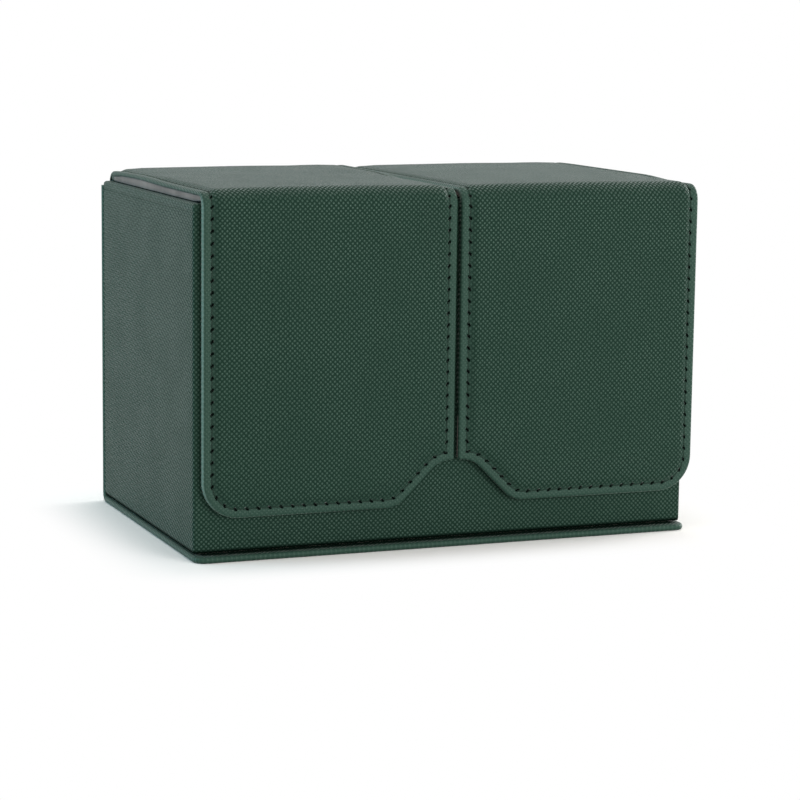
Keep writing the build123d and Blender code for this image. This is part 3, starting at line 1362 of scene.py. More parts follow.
    def place(self, across: np.ndarray, along: np.ndarray, height: np.ndarray) -> np.ndarray:
        """Bends the flat sheet over the front edge of the box.

        Args:
            across: distance from the outer edge.
            along: distance from the hinge; below 0 it runs on round the rear bend.
            height: height over the middle line of the bend.

        Returns:
            X, Y and Z of each point.
        """
        across, along, height = (np.asarray(v, float) for v in (across, along, height))
        half_taper = self.hinge_taper / 2
        narrowing = self.taper * (1 - smoothstep(along, -half_taper, half_taper))
        inward = across + narrowing * (1 - across / self.width)
        x = self.outer - self.side.value * inward
        angle = np.clip((along - self.lid_length) / self.bend_length, 0, 1) * math.pi / 2
        down = np.clip(along - self.lid_length - self.bend_length, 0, None)
        y = self.hinge_y - np.clip(along, 0, self.lid_length) - height * np.sin(angle)
        z = self.bend_z + height * np.cos(angle) - down
        rear = np.clip(-along / self.rear_length, 0, 1) * math.pi / 2
        behind = along < 0
        y = np.where(behind, self.hinge_y + height * np.sin(rear), y)
        z = np.where(behind, self.bend_z + height * np.cos(rear), z)
        return np.stack([x, y, z], axis=-1)

    @property
    def rear_length(self) -> float:
        """Length of the rear bend, from the lid's seam to the back panel."""
        return (self.back_face - self.hinge_y) * math.pi / 2

    def lift(self, across: np.ndarray, along: np.ndarray) -> np.ndarray:
        """How much higher the lid's edges lie than its nominal margin.

        The glued lids are not quite flat: each stands up along its right edge towards the
        hinge, and the left lid bows up once along its left edge.

        Args:
            across: distance from the outer edge.
            along: distance from the hinge.

        Returns:
            Height to add to the lid's margin.
        """
        share = across / self.width
        if self.side is Side.RIGHT:
            until_front = 1 - smoothstep(along, *self.right_rise_end)
            outer = self.right_outer_rise * until_front * (1 - smoothstep(share, 0.1, 0.6))
            return outer + self.right_inner_rise * smoothstep(share, 0.7, 1.0)
        until_middle = 1 - smoothstep(along, *self.left_rise_end)
        inner = self.left_inner_rise * until_middle * smoothstep(share, 0.5, 0.9)
        at_rear = 1 - smoothstep(along, *self.left_corner_end)
        outer = self.bow(along) + self.left_outer_rise * at_rear
        return inner + outer * (1 - smoothstep(share, 0.0, 0.5))

    def bow(self, along: np.ndarray) -> np.ndarray:
        """Bow of the left lid's left edge: up before its middle, down at the hinge.

        Args:
            along: distance from the hinge.

        Returns:
            Height to add.
        """
        if self.side is Side.RIGHT:
            return np.zeros_like(np.asarray(along, float))
        dip = self.rear_dip * (1 - smoothstep(along, *self.dip_end))
        return self.bow_rise * bump_at(along, self.bow_middle, self.bow_spread) - dip

    def top_height(
        self, across: np.ndarray, along: np.ndarray, depth: np.ndarray
    ) -> np.ndarray:
        """Height of the leather's face.

        From the edge in, it goes over the rounded edge, the flat margin with the groove of
        the seam, the slope up to the shoulder over the board, and the crowned middle.

        Args:
            across: distance from the outer edge.
            along: distance from the hinge.
            depth: distance in from the nearest edge.

        Returns:
            Height over the bend's middle line.
        """
        flap = self.on_flap(along)
        lid_margin = self.lid_margin + self.lift(across, along)
        margin = mixed(lid_margin, self.flap_margin, flap)
        shoulder = np.maximum(self.shoulder, margin + self.least_climb)
        height = margin - rounding(depth, self.edge_radius)
        share = np.clip(across / self.width, 0, 1)
        from_left = share if self.side is Side.LEFT else 1 - share
        at_left = 1 - smoothstep(from_left, 0.3, 0.6)
        at_rear = (1 - smoothstep(along, *self.low_rear_end)) * at_left
        over_board = np.minimum(shoulder, self.board_top + self.board_skin)
        low_shoulder = mixed(shoulder, over_board, at_rear)
        height = height + (low_shoulder - margin) * smoothstep(depth, *self.slope)
        foot, wide = self.rear_slope
        height = height + (shoulder - low_shoulder) * smoothstep(depth, foot, foot + wide)
        height = height - self.groove_depth * bump_at(depth, self.stitch_inset, self.groove_width)
        middle = 1 - (2 * share - 1) ** 2
        lengthwise = np.clip(along / self.lid_length, 0, 1)
        arch = np.sqrt(np.clip(1 - (1.5 * lengthwise - 0.75) ** 2, 0, 1))
        down = np.clip((along - self.lid_length) / (self.length - self.lid_length), 0, 1)
        flap_bulge = self.flap_crown * middle * (1 - (2 * down - 1) ** 4)
        bulge = mixed(self.lid_crown * middle * arch, flap_bulge, flap)
        return np.minimum(height + bulge * smoothstep(depth, *self.crown_reach), self.highest)

    def lining_top(self, across: np.ndarray, along: np.ndarray) -> np.ndarray:
        """Height of the lid lining's upper face, which follows the bow of the edge."""
        near_edge = 1 - smoothstep(across / self.width, 0.0, 0.12)
        return self.lid_lining_top + self.bow(along) * near_edge

    def under_height(
        self, across: np.ndarray, along: np.ndarray, depth: np.ndarray
    ) -> np.ndarray:
        """Height of the leather's back: on the lining at the edge, over the board inside.

        Round the flap's outer half, and beside the other flap until near the notch, it is
        turned in beside the lining, to the lining's back.

        Args:
            across: distance from the outer edge.
            along: distance from the hinge.
            depth: distance in from the nearest edge.

        Returns:
            Height over the bend's middle line.
        """
        flap = self.on_flap(along)
        lid_edge = self.lining_top(across, along) + self.crease
        lip = self.flap_lining_under + rounding(depth, self.lip_radius)
        past_lip = smoothstep(depth, self.lip_width - self.lip_edge, self.lip_width)
        outer_half = 1 - smoothstep(across, 0.45 * self.width, 0.55 * self.width)
        beside = 1 - smoothstep(along, self.lip_end - 1.0, self.lip_end)
        turned_in = np.maximum(outer_half, beside)
        flush = self.flap_lining_top + self.crease
        flap_edge = mixed(flush, mixed(lip, flush, past_lip), turned_in)
        on_lining = mixed(lid_edge, flap_edge, flap)
        over_board = mixed(self.board_top, self.board_front, flap) + self.board_gap
        return mixed(on_lining, over_board, smoothstep(depth, *self.board_reach))

    def grain(self, points: np.ndarray, along: np.ndarray) -> np.ndarray:
        """Place of each point on the leather, so that the grain runs on over both lids."""
        return np.column_stack([points[:, 0], along])

    @property
    def face_rings(self) -> tuple[tuple[float, ...], tuple[float, ...]]:
        """Depths of the face's rings: close at the edge and the seam, then wider."""
        fine = (0.0, 0.12, 0.35, 0.7, 1.4, 2.2, self.stitch_inset, 2.9, 3.5)
        return fine, (4.2, 5.2, 6.8, 9.0)

    # ------------------------------------------------------------ pieces
    def blend_flap(self, piece: bpy.types.Object) -> None:
        """Bakes the placement of a piece into its points.

        Args:
            piece: a piece that lies on both the lid and the flap.
        """
        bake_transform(piece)

    def make_leather(self) -> bpy.types.Object:
        """Leather of the lid, the fold and the flap, in one sheet with its needle holes.

        Returns:
            The finished piece.
        """
        fine, coarse = self.face_rings
        lip = (0.0, 0.2, self.lip_width - self.lip_edge, self.lip_width)
        shell = self.sheet.shell((fine, coarse), (lip, (3.2, 4.3, 9.0)))
        across, along, depth = shell.flat.T
        height = np.where(
            shell.is_top,
            self.top_height(across, along, depth),
            self.under_height(across, along, depth),
        )
        stitches = self.sheet.along_row / self.stitch_pitch_used
        seam = np.column_stack([np.zeros(len(depth)), depth - self.stitch_inset])
        for ring in shell.top_rings[: len(fine)]:
            seam[ring, 0] = stitches
        seam[~shell.is_top, 1] = -self.stitch_inset * 2  # far from the seam: no holes there
        row = shell.top_rings[fine.index(self.stitch_inset)]
        phase = np.abs((stitches + 0.5) % 1.0 - 0.5)
        open_hole = np.clip(1 - phase * self.stitch_pitch_used / self.hole_length, 0, 1)
        height[row] -= self.hole_depth * open_hole
        points = self.place(across, along, height)
        pressed = mixed(self.lid_pressed, 1.0, self.on_flap(along))
        piece = Shell(
            points,
            shell.faces,
            self.grain(points, along),
            (1 - smoothstep(depth, *self.pressed_reach)) * pressed,
            self.cut_edge_and_highlight(across, along, depth),
            seam=seam,
            flat_faces=[len(shell.faces) - 1],
        ).build(f"{self.side.word}_cover_leather")
        self.blend_flap(piece)
        replaced = [self.places.solid(n) for n in ("lid_leather", "fold_leather", "flap_leather")]
        return show(piece, self.finishes.sewn_leather, replaced)

    def cut_edge_and_highlight(self, across: np.ndarray, along: np.ndarray, depth: np.ndarray) -> np.ndarray:
        """Where the edge is painted pale: on the flap's outer half, where the edge is folded and
        the pale line is painted highlight, and between the lids, where the cut edge shows its cloth
        back.

        Args:
            across: distance from the outer edge.
            along: distance from the hinge.
            depth: distance in from the nearest edge.

        Returns:
            1 on the pale edge, 0 elsewhere.
        """
        beside_other_lid = smoothstep(across / self.width, 0.4, 0.6)
        shows = np.abs(self.on_flap(along) - beside_other_lid)
        return (1 - smoothstep(depth, *self.cut_reach)) * shows

    @property
    def stitch_pitch_used(self) -> float:
        """Stitch pitch, rounded so that a whole number of parts fits the row."""
        return self.sheet.step * self.parts_per_stitch

    def make_lining(self) -> bpy.types.Object:
        """Lining under the lid and behind the flap; its cut edge shows along the lid.

        Returns:
            The finished piece.
        """
        outline = self.lining_outline()
        sheet = Sheet(
            outline, row=0.0, step=self.lining_step, keep_every=6, bend=self.sheet.bend
        )
        coarse = (3.2, 8.0)
        shell = sheet.shell(((0.0, 0.15, 1.0), coarse), ((0.0, 0.1, 0.35, 1.0), coarse))
        across, along, depth = shell.flat.T
        flap = self.on_flap(along)
        low = mixed(self.lid_lining_under, self.flap_lining_under, flap)
        thinnest = self.lid_length + self.fold_thinnest
        low = low + self.fold_clearance * bump_at(along, thinnest, self.fold_spread)
        high = mixed(self.lining_top(across, along), self.flap_lining_top, flap)
        upper, lower = self.lining_radii
        height = np.where(
            shell.is_top, high - 0.5 * rounding(depth, upper), low + rounding(depth, lower)
        )
        points = self.place(across, along, height)
        piece = Shell(
            points, shell.faces, self.grain(points, along), flat_faces=[len(shell.faces) - 1]
        ).build(f"{self.side.word}_cover_lining")
        self.blend_flap(piece)
        replaced = [self.places.solid(n) for n in ("lid_lining", "flap_lining")]
        return show(piece, self.finishes.lining, replaced)

    def make_stitches(self) -> bpy.types.Object:
        """The row of stitches: each goes down a needle hole and comes up out of the next.

        Returns:
            The finished piece.
        """
        row = self.sheet.ring(self.stitch_inset)
        length = self.sheet.along_row
        count = int(self.sheet.row_length / self.stitch_pitch_used)
        stations = np.linspace(0, 1, self.thread_loops)
        around = self.thread_sides
        sides = np.arange(around) * math.tau / around
        points, faces, grain = [], [], []
        for number in range(count):
            at = (number + stations) * self.stitch_pitch_used
            centre = np.column_stack([np.interp(at, length, row[:, k]) for k in (0, 1)])
            heading = np.gradient(centre, axis=0)
            heading = heading / np.maximum(np.linalg.norm(heading, axis=1), TINY)[:, None]
            sideways = np.column_stack([heading[:, 1], -heading[:, 0]])
            centre = centre + sideways * (self.thread_slant * (1 - 2 * stations))[:, None]
            arch = np.sqrt(np.clip(1 - (2 * stations - 1) ** 4, 0, 1))
            inset = np.full(len(centre), self.stitch_inset)
            face = self.top_height(centre[:, 0], centre[:, 1], inset)
            middle = face + mixed(-self.hole_depth, self.thread_rise, arch)
            start = len(points)
            for k in range(self.thread_loops):
                thin = self.thread_radius * mixed(self.thread_pinch, 1.0, arch[k])
                across = centre[k, 0] + sideways[k, 0] * thin * np.cos(sides)
                along = centre[k, 1] + sideways[k, 1] * thin * np.cos(sides)
                height = middle[k] + self.thread_flatness * thin * np.sin(sides)
                points.extend(self.place(across, along, height))
                grain.extend([at[k], v] for v in sides * self.thread_radius)
            last = start + (self.thread_loops - 1) * around
            for a in range(start, last, around):
                for i in range(around):
                    j = (i + 1) % around
                    faces.append([a + i, a + j, a + around + j, a + around + i])
            faces.append(list(range(start, start + around)))
            faces.append(list(range(last, last + around)))
        piece = Shell(np.array(points), faces, np.array(grain)).build(f"{self.side.word}_stitches")
        self.blend_flap(piece)
        return show(piece, self.finishes.thread)

    def make_hinge(self) -> bpy.types.Object:
        """Leather of the rear bend, from the lid's seam down to the back panel.

        Returns:
            The finished piece.
        """
        face = self.sheet.face(*self.face_rings)
        across, _, depth = face.flat[face.seam].T
        fall = rounding(depth, self.edge_radius)
        lid_edge = self.top_height(across, np.zeros(len(across)), depth)
        back_edge = self.back_face - self.hinge_y - fall
        flat = self.hinge_pressed * (1 - smoothstep(depth, *self.pressed_reach))
        loops, grains, presses = [], [], []
        for share in np.linspace(0, 1, 13):
            along = np.full(len(across), -share * self.rear_length)
            top = mixed(lid_edge, back_edge, smoothstep(share, 0.0, 0.9))
            under = np.minimum(top - self.hinge_thinnest, top + fall - self.hinge_thickness)
            loop = np.concatenate(
                [self.place(across, along, top), self.place(across, along, under)[::-1]]
            )
            loops.append(loop)
            grains.append(np.column_stack([loop[:, 0], np.full(len(loop), along[0])]))
            presses.append(np.concatenate([flat, flat[::-1]]))
        points, faces = tube(loops)
        piece = Shell(
            points,
            faces,
            np.concatenate(grains),
            np.concatenate(presses),
            flat_faces=[len(faces) - 2, len(faces) - 1],
        ).build(f"{self.side.word}_hinge_strip")
        top = self.bend_z + self.back_face - self.hinge_y
        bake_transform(piece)
        return show(
            piece, self.finishes.leather, [self.places.solid("hinge_leather")]
        )

    def make_binding(self) -> bpy.types.Object:
        """Leather folded round the lining's rear end, a bullnose beside the hinge.

        Returns:
            The finished piece.
        """
        low = self.bend_z + self.lid_lining_under - self.binding_skin
        high = self.bend_z + self.lid_lining_top + self.binding_skin
        nose = (high - low) / 2
        rear = self.hinge_y + self.binding_overhang
        front = rear - self.binding_length
        angles = np.linspace(-math.pi / 2, math.pi / 2, 13)
        curve_y = np.concatenate([[front], rear - nose + nose * np.cos(angles), [front]])
        curve_z = np.concatenate([[low], (low + high) / 2 + nose * np.sin(angles), [high]])
        centre = np.array([(front + rear) / 2, (low + high) / 2])
        x_outer = self.outer - self.side.value * (self.taper + self.binding_gap / 2)
        x_inner = self.inner + self.side.value * self.binding_gap
        rounded_end = ((0.0, 0.45), (0.12, 0.2), (0.45, 0.0))  # distance in, and how much slimmer
        stations = [(x_outer - self.side.value * inset, slim) for inset, slim in rounded_end]
        stations += [(x_inner + self.side.value * inset, slim) for inset, slim in rounded_end[::-1]]
        rings, grains = [], []
        run = np.concatenate([[0], np.cumsum(np.hypot(np.diff(curve_y), np.diff(curve_z)))])
        for x, shrink in stations:
            y = centre[0] + (curve_y - centre[0]) * (1 - shrink / (self.binding_length / 2))
            z = centre[1] + (curve_z - centre[1]) * (1 - shrink / nose)
            rings.append(np.column_stack([np.full(len(y), x), y, z]))
            grains.append(np.column_stack([np.full(len(y), x), run]))
        points, faces = tube(rings)
        pressed = np.full(len(points), self.binding_pressed)
        piece = Shell(points, faces, np.concatenate(grains), pressed).build(
            f"{self.side.word}_rear_binding"
        )
        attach(piece, f"{self.side.word}_lid")
        return show(piece, self.finishes.leather)

    def build(self) -> None:
        """Makes every piece of the lid and flap."""
        self.make_leather()
        self.make_lining()
        self.make_stitches()
        self.make_hinge()
        self.make_binding()


# ---------------------------------------------------------------- base plate and back
@dataclass
class Spine:
    """Base plate and back panel: boards wrapped in one sheet of leather."""

    finishes: Finishes
    corner_radius: float = 3.5
    edge_radius: float = 0.85
    step: float = 0.8  # between the points of the edge
    edge_rings: tuple[float, ...] = (0.0, 0.1, 0.3, 0.55, 0.85)
    inner_rings: tuple[float, ...] = (2.4, 3.2, 4.2)
    pressed_reach: tuple[float, float] = (0.6, 2.2)
    crease_shade_reach: tuple[float, float] = (2.4, 3.4)  # where the painted shade beside and under the tray's foot starts
    rim_width: float = 4.2  # of the base plate's rim, which lies lower than its middle
    rim_drop: float = 0.4
    back_inset: float = 0.3  # how much narrower the back panel is on each side

    def __post_init__(self) -> None:
        """Reads the places of the solids."""
        base_low, base_high = span("base_leather")
        back_high = span("back_leather")[1]
        self.left, self.right = float(base_low[0]), float(base_high[0])
        self.front, self.back = float(base_low[1]), float(back_high[1])
        self.thickness = float(base_high[2])
        self.top = float(back_high[2])
        self.bend_radius = self.back - float(base_high[1])
        self.back_length = self.top - self.bend_radius
        self.bend_length = (self.bend_radius - self.thickness / 2) * math.pi / 2
        self.base_length = float(base_high[1]) - self.front
        self.length = self.back_length + self.bend_length + self.base_length

    def place(self, across: np.ndarray, along: np.ndarray, height: np.ndarray) -> np.ndarray:
        """Bends the flat sheet from the back panel under the box.

        Args:
            across: distance from the left edge.
            along: distance from the back panel's top.
            height: height over the outer face.

        Returns:
            X, Y and Z of each point.
        """
        turned = np.clip((along - self.back_length) / self.bend_length, 0, 1) * math.pi / 2
        radius = self.bend_radius - height
        forward = np.clip(along - self.back_length - self.bend_length, 0, None)
        y = self.back - self.bend_radius + radius * np.cos(turned) - forward
        z = self.top - np.clip(along, 0, self.back_length) - radius * np.sin(turned)
        return np.stack([self.left + across, y, z], axis=-1)

    def build(self) -> bpy.types.Object:
        """Makes the wrapped base plate and back panel in one piece.

        Returns:
            The finished piece.
        """
        width = self.right - self.left
        outline = Outline(
            (
                (0.0, 0.0, 0.0),
                (0.0, self.length, self.corner_radius),
                (width, self.length, self.corner_radius),
                (width, 0.0, 0.0),
            )
        )
        bend_end = self.back_length + self.bend_length
        bend = (self.back_length - BEND_MARGIN, bend_end + BEND_MARGIN)
        sheet = Sheet(outline, row=0.0, step=self.step, keep_every=4, bend=bend)
        depths = (self.edge_rings, self.inner_rings)
        shell = sheet.shell(depths, depths)
        across, along, depth = shell.flat.T
        fall = rounding(depth, self.edge_radius)
        on_base = smoothstep(along, self.back_length, bend_end)
        rim = 1 - smoothstep(depth, self.rim_width - 1.0, self.rim_width)
        top = self.thickness - self.rim_drop * rim * on_base - fall
        height = np.where(shell.is_top, top, fall)
        points = self.place(across, along, height)
        squeeze = mixed(1 - self.back_inset / self.right, 1.0, on_base)
        points[:, 0] *= squeeze
        piece = Shell(
            points,
            shell.faces,
            np.column_stack([points[:, 0], along]),
            1 - smoothstep(depth, *self.pressed_reach),
            # painted shade on the base plate beside and under the tray's foot
            crease_shade=on_base * smoothstep(depth, *self.crease_shade_reach),
            flat_faces=[len(shell.faces) - 1],
        ).build("base_and_back_leather")
        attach(piece, "box")
        return show(piece, self.finishes.leather, ["base_leather", "back_leather"])


# ---------------------------------------------------------------- tray
@dataclass(frozen=True)
class RoundedPlan:
    """A rectangle with round corners seen from above, walked in loops of equal length.

    Each loop starts and ends in the middle of the rear side, where the grain's ends meet.
    """

    low: tuple[float, float]
    high: tuple[float, float]
    per_side: int = 14
    per_corner: int = 7

    def loop(self, inset: float, radius: float, z: float) -> np.ndarray:
        """One loop of the plan.

        Args:
            inset: distance in from the rectangle's sides.
            radius: radius of the corners.
            z: height of the loop.

        Returns:
            The loop's points; the last lies on the first.
        """
        x0, y0 = self.low[0] + inset, self.low[1] + inset
        x1, y1 = self.high[0] - inset, self.high[1] - inset
        middle = np.array([[(x0 + x1) / 2, y1]])
        corners = ((x0, y1, 90), (x0, y0, 180), (x1, y0, 270), (x1, y1, 0))
        runs = [middle]
        for x, y, start in corners:
            centre_x = x + radius if x == x0 else x - radius
            centre_y = y + radius if y == y0 else y - radius
            angles = np.radians(start + np.linspace(0, 90, self.per_corner))
            arc_x, arc_y = radius * np.cos(angles), radius * np.sin(angles)
            runs.append(np.column_stack([centre_x + arc_x, centre_y + arc_y]))
        runs.append(middle)
        points = [middle[0]]
        for before, run in zip(runs, runs[1:]):
            for share in np.arange(1, self.per_side) / self.per_side:
                points.append(mixed(before[-1], run[0], share))
            points.extend(run)
        return np.column_stack([np.array(points), np.full(len(points), z)])

    def sweep(self, profile: Sequence[tuple[float, float, float]]) -> Shell:
        """Sweeps a closed profile round the plan.

        Args:
            profile: inset, height and corner radius of each loop; the last joins the first.

        Returns:
            The closed shell.
        """
        loops = [self.loop(inset, radius, z) for inset, z, radius in profile]
        count = len(loops[0])
        steps = max((np.linalg.norm(np.diff(loop, axis=0), axis=1) for loop in loops), key=sum)
        around = np.concatenate([[0], np.cumsum(steps)])
        rise = [0.0]
        for (a_in, a_z, _), (b_in, b_z, _) in zip(profile, profile[1:]):
            rise.append(rise[-1] + math.hypot(b_in - a_in, b_z - a_z))
        grain = np.concatenate(
            [np.column_stack([around, np.full(count, up)]) for up in rise]
        )
        faces = []
        for row in range(len(loops)):
            a, b = row * count, ((row + 1) % len(loops)) * count
            for i in range(count - 1):
                faces.append([a + i, a + i + 1, b + i + 1, b + i])
        return Shell(np.concatenate(loops), faces, grain)


@dataclass
class Tray:
    """The tray: a wrapped outside, a soft inside in two cells, and a covered divider."""

    finishes: Finishes
    corner_radius: float = 0.85
    rim_radius: float = 0.9
    foot_depth: float = 0.46  # of the undercut fold along the tray's foot
    foot_height: float = 1.3
    foot_corner: float = 0.1  # radius of the plan's corners inside that fold
    flat_ends: tuple[float, float] = (2.0, 0.8)  # from foot and line to the wall's even loops
    line_below_rim: float = 2.6  # faint pressed line under the rim
    line_depth: float = 0.22
    line_lip: float = 0.04  # depth of the line's rounded sides
    line_half: float = 0.25  # half its width
    line_reach: float = 0.7  # from the line up to where the wall is straight again
    line_pressed: float = 0.2
    end_bevel: tuple[float, float] = (0.1, 0.3)  # width and height, at the turned-in end
    inner_corner: float = 0.6
    tight_corner: float = 0.4  # of the loops that stay out of sight
    skin: float = 0.5
    gap: float = 0.02  # keeps the wrap's foot off the base, and the cells' rim off the wrap
    cell_corner: float = 1.6
    cell_floor_radius: float = 1.2
    floor_corner: float = 1.0  # of the floor's loops
    foot_bevel: tuple[float, float] = (0.3, 0.4)  # width and height, outside at the cell's foot
    cap_slack: float = 0.2  # from the divider cap's skin down to its flat inner top
    floor_rings: tuple[float, float] = (12.0, 28.0)  # insets of the floor's two wide loops

    def __post_init__(self) -> None:
        """Reads the places of the solids."""
        self.low, self.high = span("tray_leather")
        self.wall = float(self.high[0] - span("right_cell_lining")[1][0]) + self.skin
        self.turn_in = float(span("right_cell_lining")[1][2])
        self.plan = RoundedPlan(
            (float(self.low[0]), float(self.low[1])), (float(self.high[0]), float(self.high[1]))
        )

    def make_wrap(self) -> bpy.types.Object:
        """Leather round the walls, over the rim and down inside it.

        Returns:
            The finished piece.
        """
        top, bottom = float(self.high[2]), float(self.low[2])
        r, c, sharp = self.rim_radius, self.corner_radius, self.foot_corner
        line = top - self.line_below_rim
        profile = []
        for angle in np.radians(np.linspace(0, 90, 6)):
            inset = self.foot_depth * (1 - math.sin(angle))
            rise = self.foot_height * (1 - math.cos(angle))
            corner = sharp + (c - sharp) * math.sin(angle)
            profile.append((inset, bottom + self.gap + rise, corner))
        low_end, high_end = self.flat_ends
        profile += [(0.0, z, c) for z in np.linspace(bottom + low_end, line - high_end, 12)]
        lip, half = self.line_lip, self.line_half
        profile += [(lip, line - half, c), (self.line_depth, line, c), (lip, line + half, c)]
        profile.append((0.0, line + self.line_reach, c))
        for angle in np.radians(np.linspace(0, 90, 6)):
            profile.append((r - r * math.cos(angle), top - r + r * math.sin(angle), c))
        wall, low, under = self.wall, self.turn_in, top - self.skin
        c = self.inner_corner
        for angle in np.radians(np.linspace(90, 0, 6)):
            profile.append((wall - r + r * math.cos(angle), top - r + r * math.sin(angle), c))
        wide, high = self.end_bevel
        profile += [(wall, low + high, c), (wall - wide, low, c), (wall - self.skin, low, c)]
        profile += [(wall - self.skin, under, c), (self.skin, under, self.tight_corner)]
        profile += [(self.skin, bottom + self.gap, self.tight_corner)]
        shell = self.plan.sweep(profile)
        above_line = smoothstep(shell.points[:, 2], line - 1.0, line + 1.2)
        shell.pressed = self.line_pressed * above_line
        foot = bottom + self.foot_height
        # painted shade along the undercut fold at the tray's foot
        shell.crease_shade = 1 - smoothstep(shell.points[:, 2], bottom + 0.5, foot)
        piece = shell.build("tray_wrap")
        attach(piece, "box")
        return show(piece, self.finishes.leather, ["tray_leather"])

    def make_cell(self, side: Side) -> bpy.types.Object:
        """Soft lining of one compartment: four walls and a floor in one skin.

        Args:
            side: which compartment.

        Returns:
            The finished piece.
        """
        node = f"{side.word}_cell_lining"
        low, high = span(node)
        skin = self.skin
        plan = RoundedPlan((float(low[0]), float(low[1])), (float(high[0]), float(high[1])))
        floor, rim = float(low[2]), float(high[2])
        r, c, tight = self.cell_floor_radius, self.cell_corner, self.tight_corner
        inside = [(skin, rim - self.gap, c)]
        inside += [(skin, z, c) for z in np.linspace(rim - 1, floor + skin + r, 8)]
        for angle in np.radians(np.linspace(0, 90, 6))[1:]:
            inset = skin + r - r * math.cos(angle)
            inside.append((inset, floor + skin + r - r * math.sin(angle), c))
        inside += [(inset, floor + skin, self.floor_corner) for inset in self.floor_rings]
        bevel_wide, bevel_high = self.foot_bevel
        outside = [(self.floor_rings[-1], floor, self.floor_corner), (bevel_wide, floor, tight)]
        outside += [(0.0, floor + bevel_high, tight), (0.0, rim - self.gap, tight)]
        shell = plan.sweep(inside + outside)
        loop_length = len(shell.points) // len(inside + outside)
        self._close_floor(shell, loop_length, len(inside))
        piece = shell.build(f"{side.word}_cell_fabric")
        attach(piece, "box")
        return show(piece, self.finishes.lining, [node])

    @staticmethod
    def _close_floor(shell: Shell, count: int, inner_loops: int) -> None:
        """Replaces the wall in the middle of the floor by two flat faces.

        Args:
            shell: the swept skin, changed in place.
            count: points in each loop.
            inner_loops: number of loops on the skin's inner side.
        """
        above, below = (inner_loops - 1) * count, inner_loops * count
        wall = (inner_loops - 1) * (count - 1)
        del shell.faces[wall : wall + count - 1]
        shell.faces.append(list(range(above, above + count - 1)))
        shell.faces.append(list(range(below + count - 2, below - 1, -1)))

    def make_divider_cap(self) -> bpy.types.Object:
        """Lining folded over the divider's top edge.

        Returns:
            The finished piece.
        """
        low, high = span("divider_cap")
        half = float(high[0])
        top, bottom = float(high[2]), float(low[2])
        angles = np.linspace(0, math.pi, 11)
        outer_x = np.concatenate([[half], half * np.cos(angles), [-half]])
        outer_z = np.concatenate([[bottom], top - half + half * np.sin(angles), [bottom]])
        inner = half - self.skin
        inner_x = np.array([-inner, -inner, inner, inner])
        inner_top = top - self.skin - self.cap_slack
        inner_z = np.array([bottom, inner_top, inner_top, bottom])
        x = np.concatenate([outer_x, inner_x])
        z = np.concatenate([outer_z, inner_z])
        run = np.concatenate([[0], np.cumsum(np.hypot(np.diff(x), np.diff(z)))])
        loops, grains = [], []
        for y in np.linspace(float(low[1]), float(high[1]), 12):
            loops.append(np.column_stack([x, np.full(len(x), y), z]))
            grains.append(np.column_stack([np.full(len(x), y), run]))
        points, faces = tube(loops)
        ends = [len(faces) - 2, len(faces) - 1]
        piece = Shell(points, faces, np.concatenate(grains), flat_faces=ends).build(
            "divider_cap_fabric"
        )
        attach(piece, "box")
        return show(piece, self.finishes.lining, ["divider_cap"])

    def build(self) -> None:
        """Makes every piece of the tray."""
        self.make_wrap()
        for side in Side:
            self.make_cell(side)
        self.make_divider_cap()


@dataclass
class Cores:
    """Boards and magnets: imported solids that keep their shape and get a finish."""

    finishes: Finishes

    def build(self) -> None:
        """Gives every board its millboard and every magnet its plating."""
        for name, solid in sorted(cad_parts.items()):
            if "board" in name:
                self.dress(solid, self.finishes.board)
            elif "magnets" in name:
                self.dress(solid, self.finishes.nickel)

    @staticmethod
    def dress(solid: bpy.types.Object, material: bpy.types.Material) -> None:
        """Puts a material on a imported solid.

        Args:
            solid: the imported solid.
            material: its finish.
        """
        solid.data.materials.clear()
        solid.data.materials.append(material)
        LOG.info("%s: %s", solid.name, material.name)


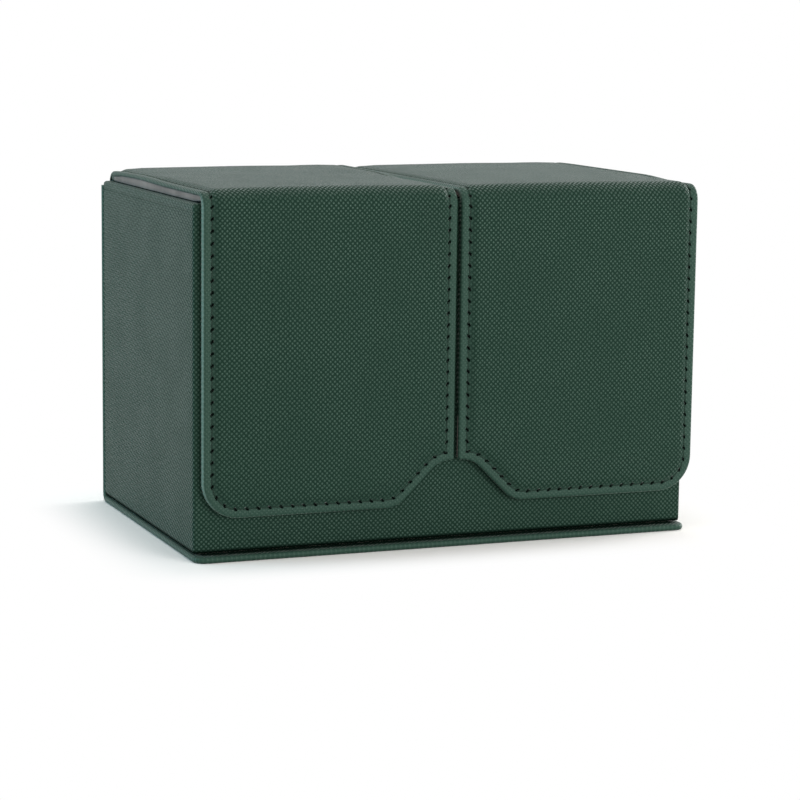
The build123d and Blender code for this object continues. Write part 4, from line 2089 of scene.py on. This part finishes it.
# ---------------------------------------------------------------- studio
@dataclass
class Studio:
    """White paper floor, soft light and the camera at the photograph's viewing angle."""

    azimuth: float = math.radians(-21.778)
    elevation: float = math.radians(8.782)
    roll: float = math.radians(-0.703)
    camera_place: tuple[float, float, float] = (-284.0, -720.0, 155.3)
    lens: float = 115.4
    sensor: float = 36.0
    world_light: float = 0.64
    floor_reach: float = 2600.0
    floor_cells: int = 8  # along each side of the floor
    clip: tuple[float, float] = (0.05, 20.0)  # nearest and farthest seen, in metres

    def make_camera(self) -> None:
        """Places the camera from its azimuth, elevation and roll."""
        across, up = self.azimuth, self.elevation
        forward = Vector(
            (-math.sin(across) * math.cos(up), math.cos(across) * math.cos(up), -math.sin(up))
        )
        right = forward.cross(Vector((0, 0, 1))).normalized()
        down = forward.cross(right)
        turned_right = math.cos(self.roll) * right + math.sin(self.roll) * down
        turned_down = math.cos(self.roll) * down - math.sin(self.roll) * right
        columns = Matrix((turned_right, -turned_down, -forward)).transposed()
        data = bpy.data.cameras.new("photo_camera")
        data.lens, data.sensor_width = self.lens, self.sensor
        data.clip_start, data.clip_end = self.clip
        camera = bpy.data.objects.new("photo_camera", data)
        place = Matrix.Translation(Vector(self.camera_place) * MM)
        camera.matrix_world = place @ columns.to_4x4()
        bpy.context.scene.collection.objects.link(camera)
        bpy.context.scene.camera = camera

    def make_world(self) -> None:
        """White surroundings for the camera and for reflections, plain light for the rest."""
        world = bpy.data.worlds.new("studio_world")
        world.use_nodes = True
        world.node_tree.nodes.clear()
        light = (seen_directly(world), 0.0, 1.0, self.world_light, 1.0)
        white = (linear("#ffffff"), add_node(world, "MapRange", light))
        add_node(world, "OutputWorld", (add_node(world, "Background", white),))
        bpy.context.scene.world = world

    def make_floor(self) -> None:
        """A wide paper floor under the box."""
        reach, cells = self.floor_reach, self.floor_cells
        x = np.linspace(-reach, reach, cells + 1)
        points = np.array([[a, b, 0.0] for b in x for a in x])
        faces = []
        for row in range(cells):
            for a in range(row * (cells + 1), row * (cells + 1) + cells):
                faces.append([a, a + 1, a + cells + 2, a + cells + 1])
        floor = Shell(points, faces, points[:, :2]).build("paper_floor")
        low, high = (np.array(corner) / MM for corner in cad_bounds)
        middle, half = (low + high) / 2, (high - low) / 2
        paper = StudioPaper((middle[0], middle[1]), (half[0], half[1]))
        floor.data.materials.append(paper.material())

    def make_lights(self) -> None:
        """Large soft lamps: overhead, front, right, and a weak cool one at the left."""
        lamps = (
            ("overhead_softbox", (60, 150, 900), (0, 0, 0), 900, 3.8, "#ffffff"),
            ("front_softbox", (500, -1000, 260), (0, 0, 50), 600, 8.0, "#ffffff"),
            ("left_softbox", (-900, 300, 230), (0, 0, 50), 440, 4.9, "#a8eaff"),
            ("right_softbox", (900, 250, 320), (0, 0, 50), 500, 7.0, "#ffffff"),
        )
        for name, place, target, size, power, colour in lamps:
            data = bpy.data.lights.new(name, "AREA")
            data.shape, data.size = "SQUARE", size * MM
            data.energy = power
            data.color = linear(colour)[:3]
            lamp = bpy.data.objects.new(name, data)
            lamp.location = Vector(place) * MM
            aim = (Vector(target) - Vector(place)).to_track_quat("-Z", "Y")
            lamp.rotation_euler = aim.to_euler()
            bpy.context.scene.collection.objects.link(lamp)

    def build(self) -> None:
        """Makes the camera, the surroundings, the floor and the lamps."""
        self.make_camera()
        self.make_world()
        self.make_floor()
        self.make_lights()
        bpy.context.scene.view_settings.view_transform = "Standard"


def main() -> None:
    """Builds the box and the studio round it."""
    logging.basicConfig(level=logging.INFO, format="%(name)s %(message)s")
    Studio().build()
    finishes = Finishes()
    Cores(finishes).build()
    Spine(finishes).build()
    Tray(finishes).build()
    for side in Side:
        LidAndFlap(side, finishes).build()


if __name__ == "__main__":
    main()
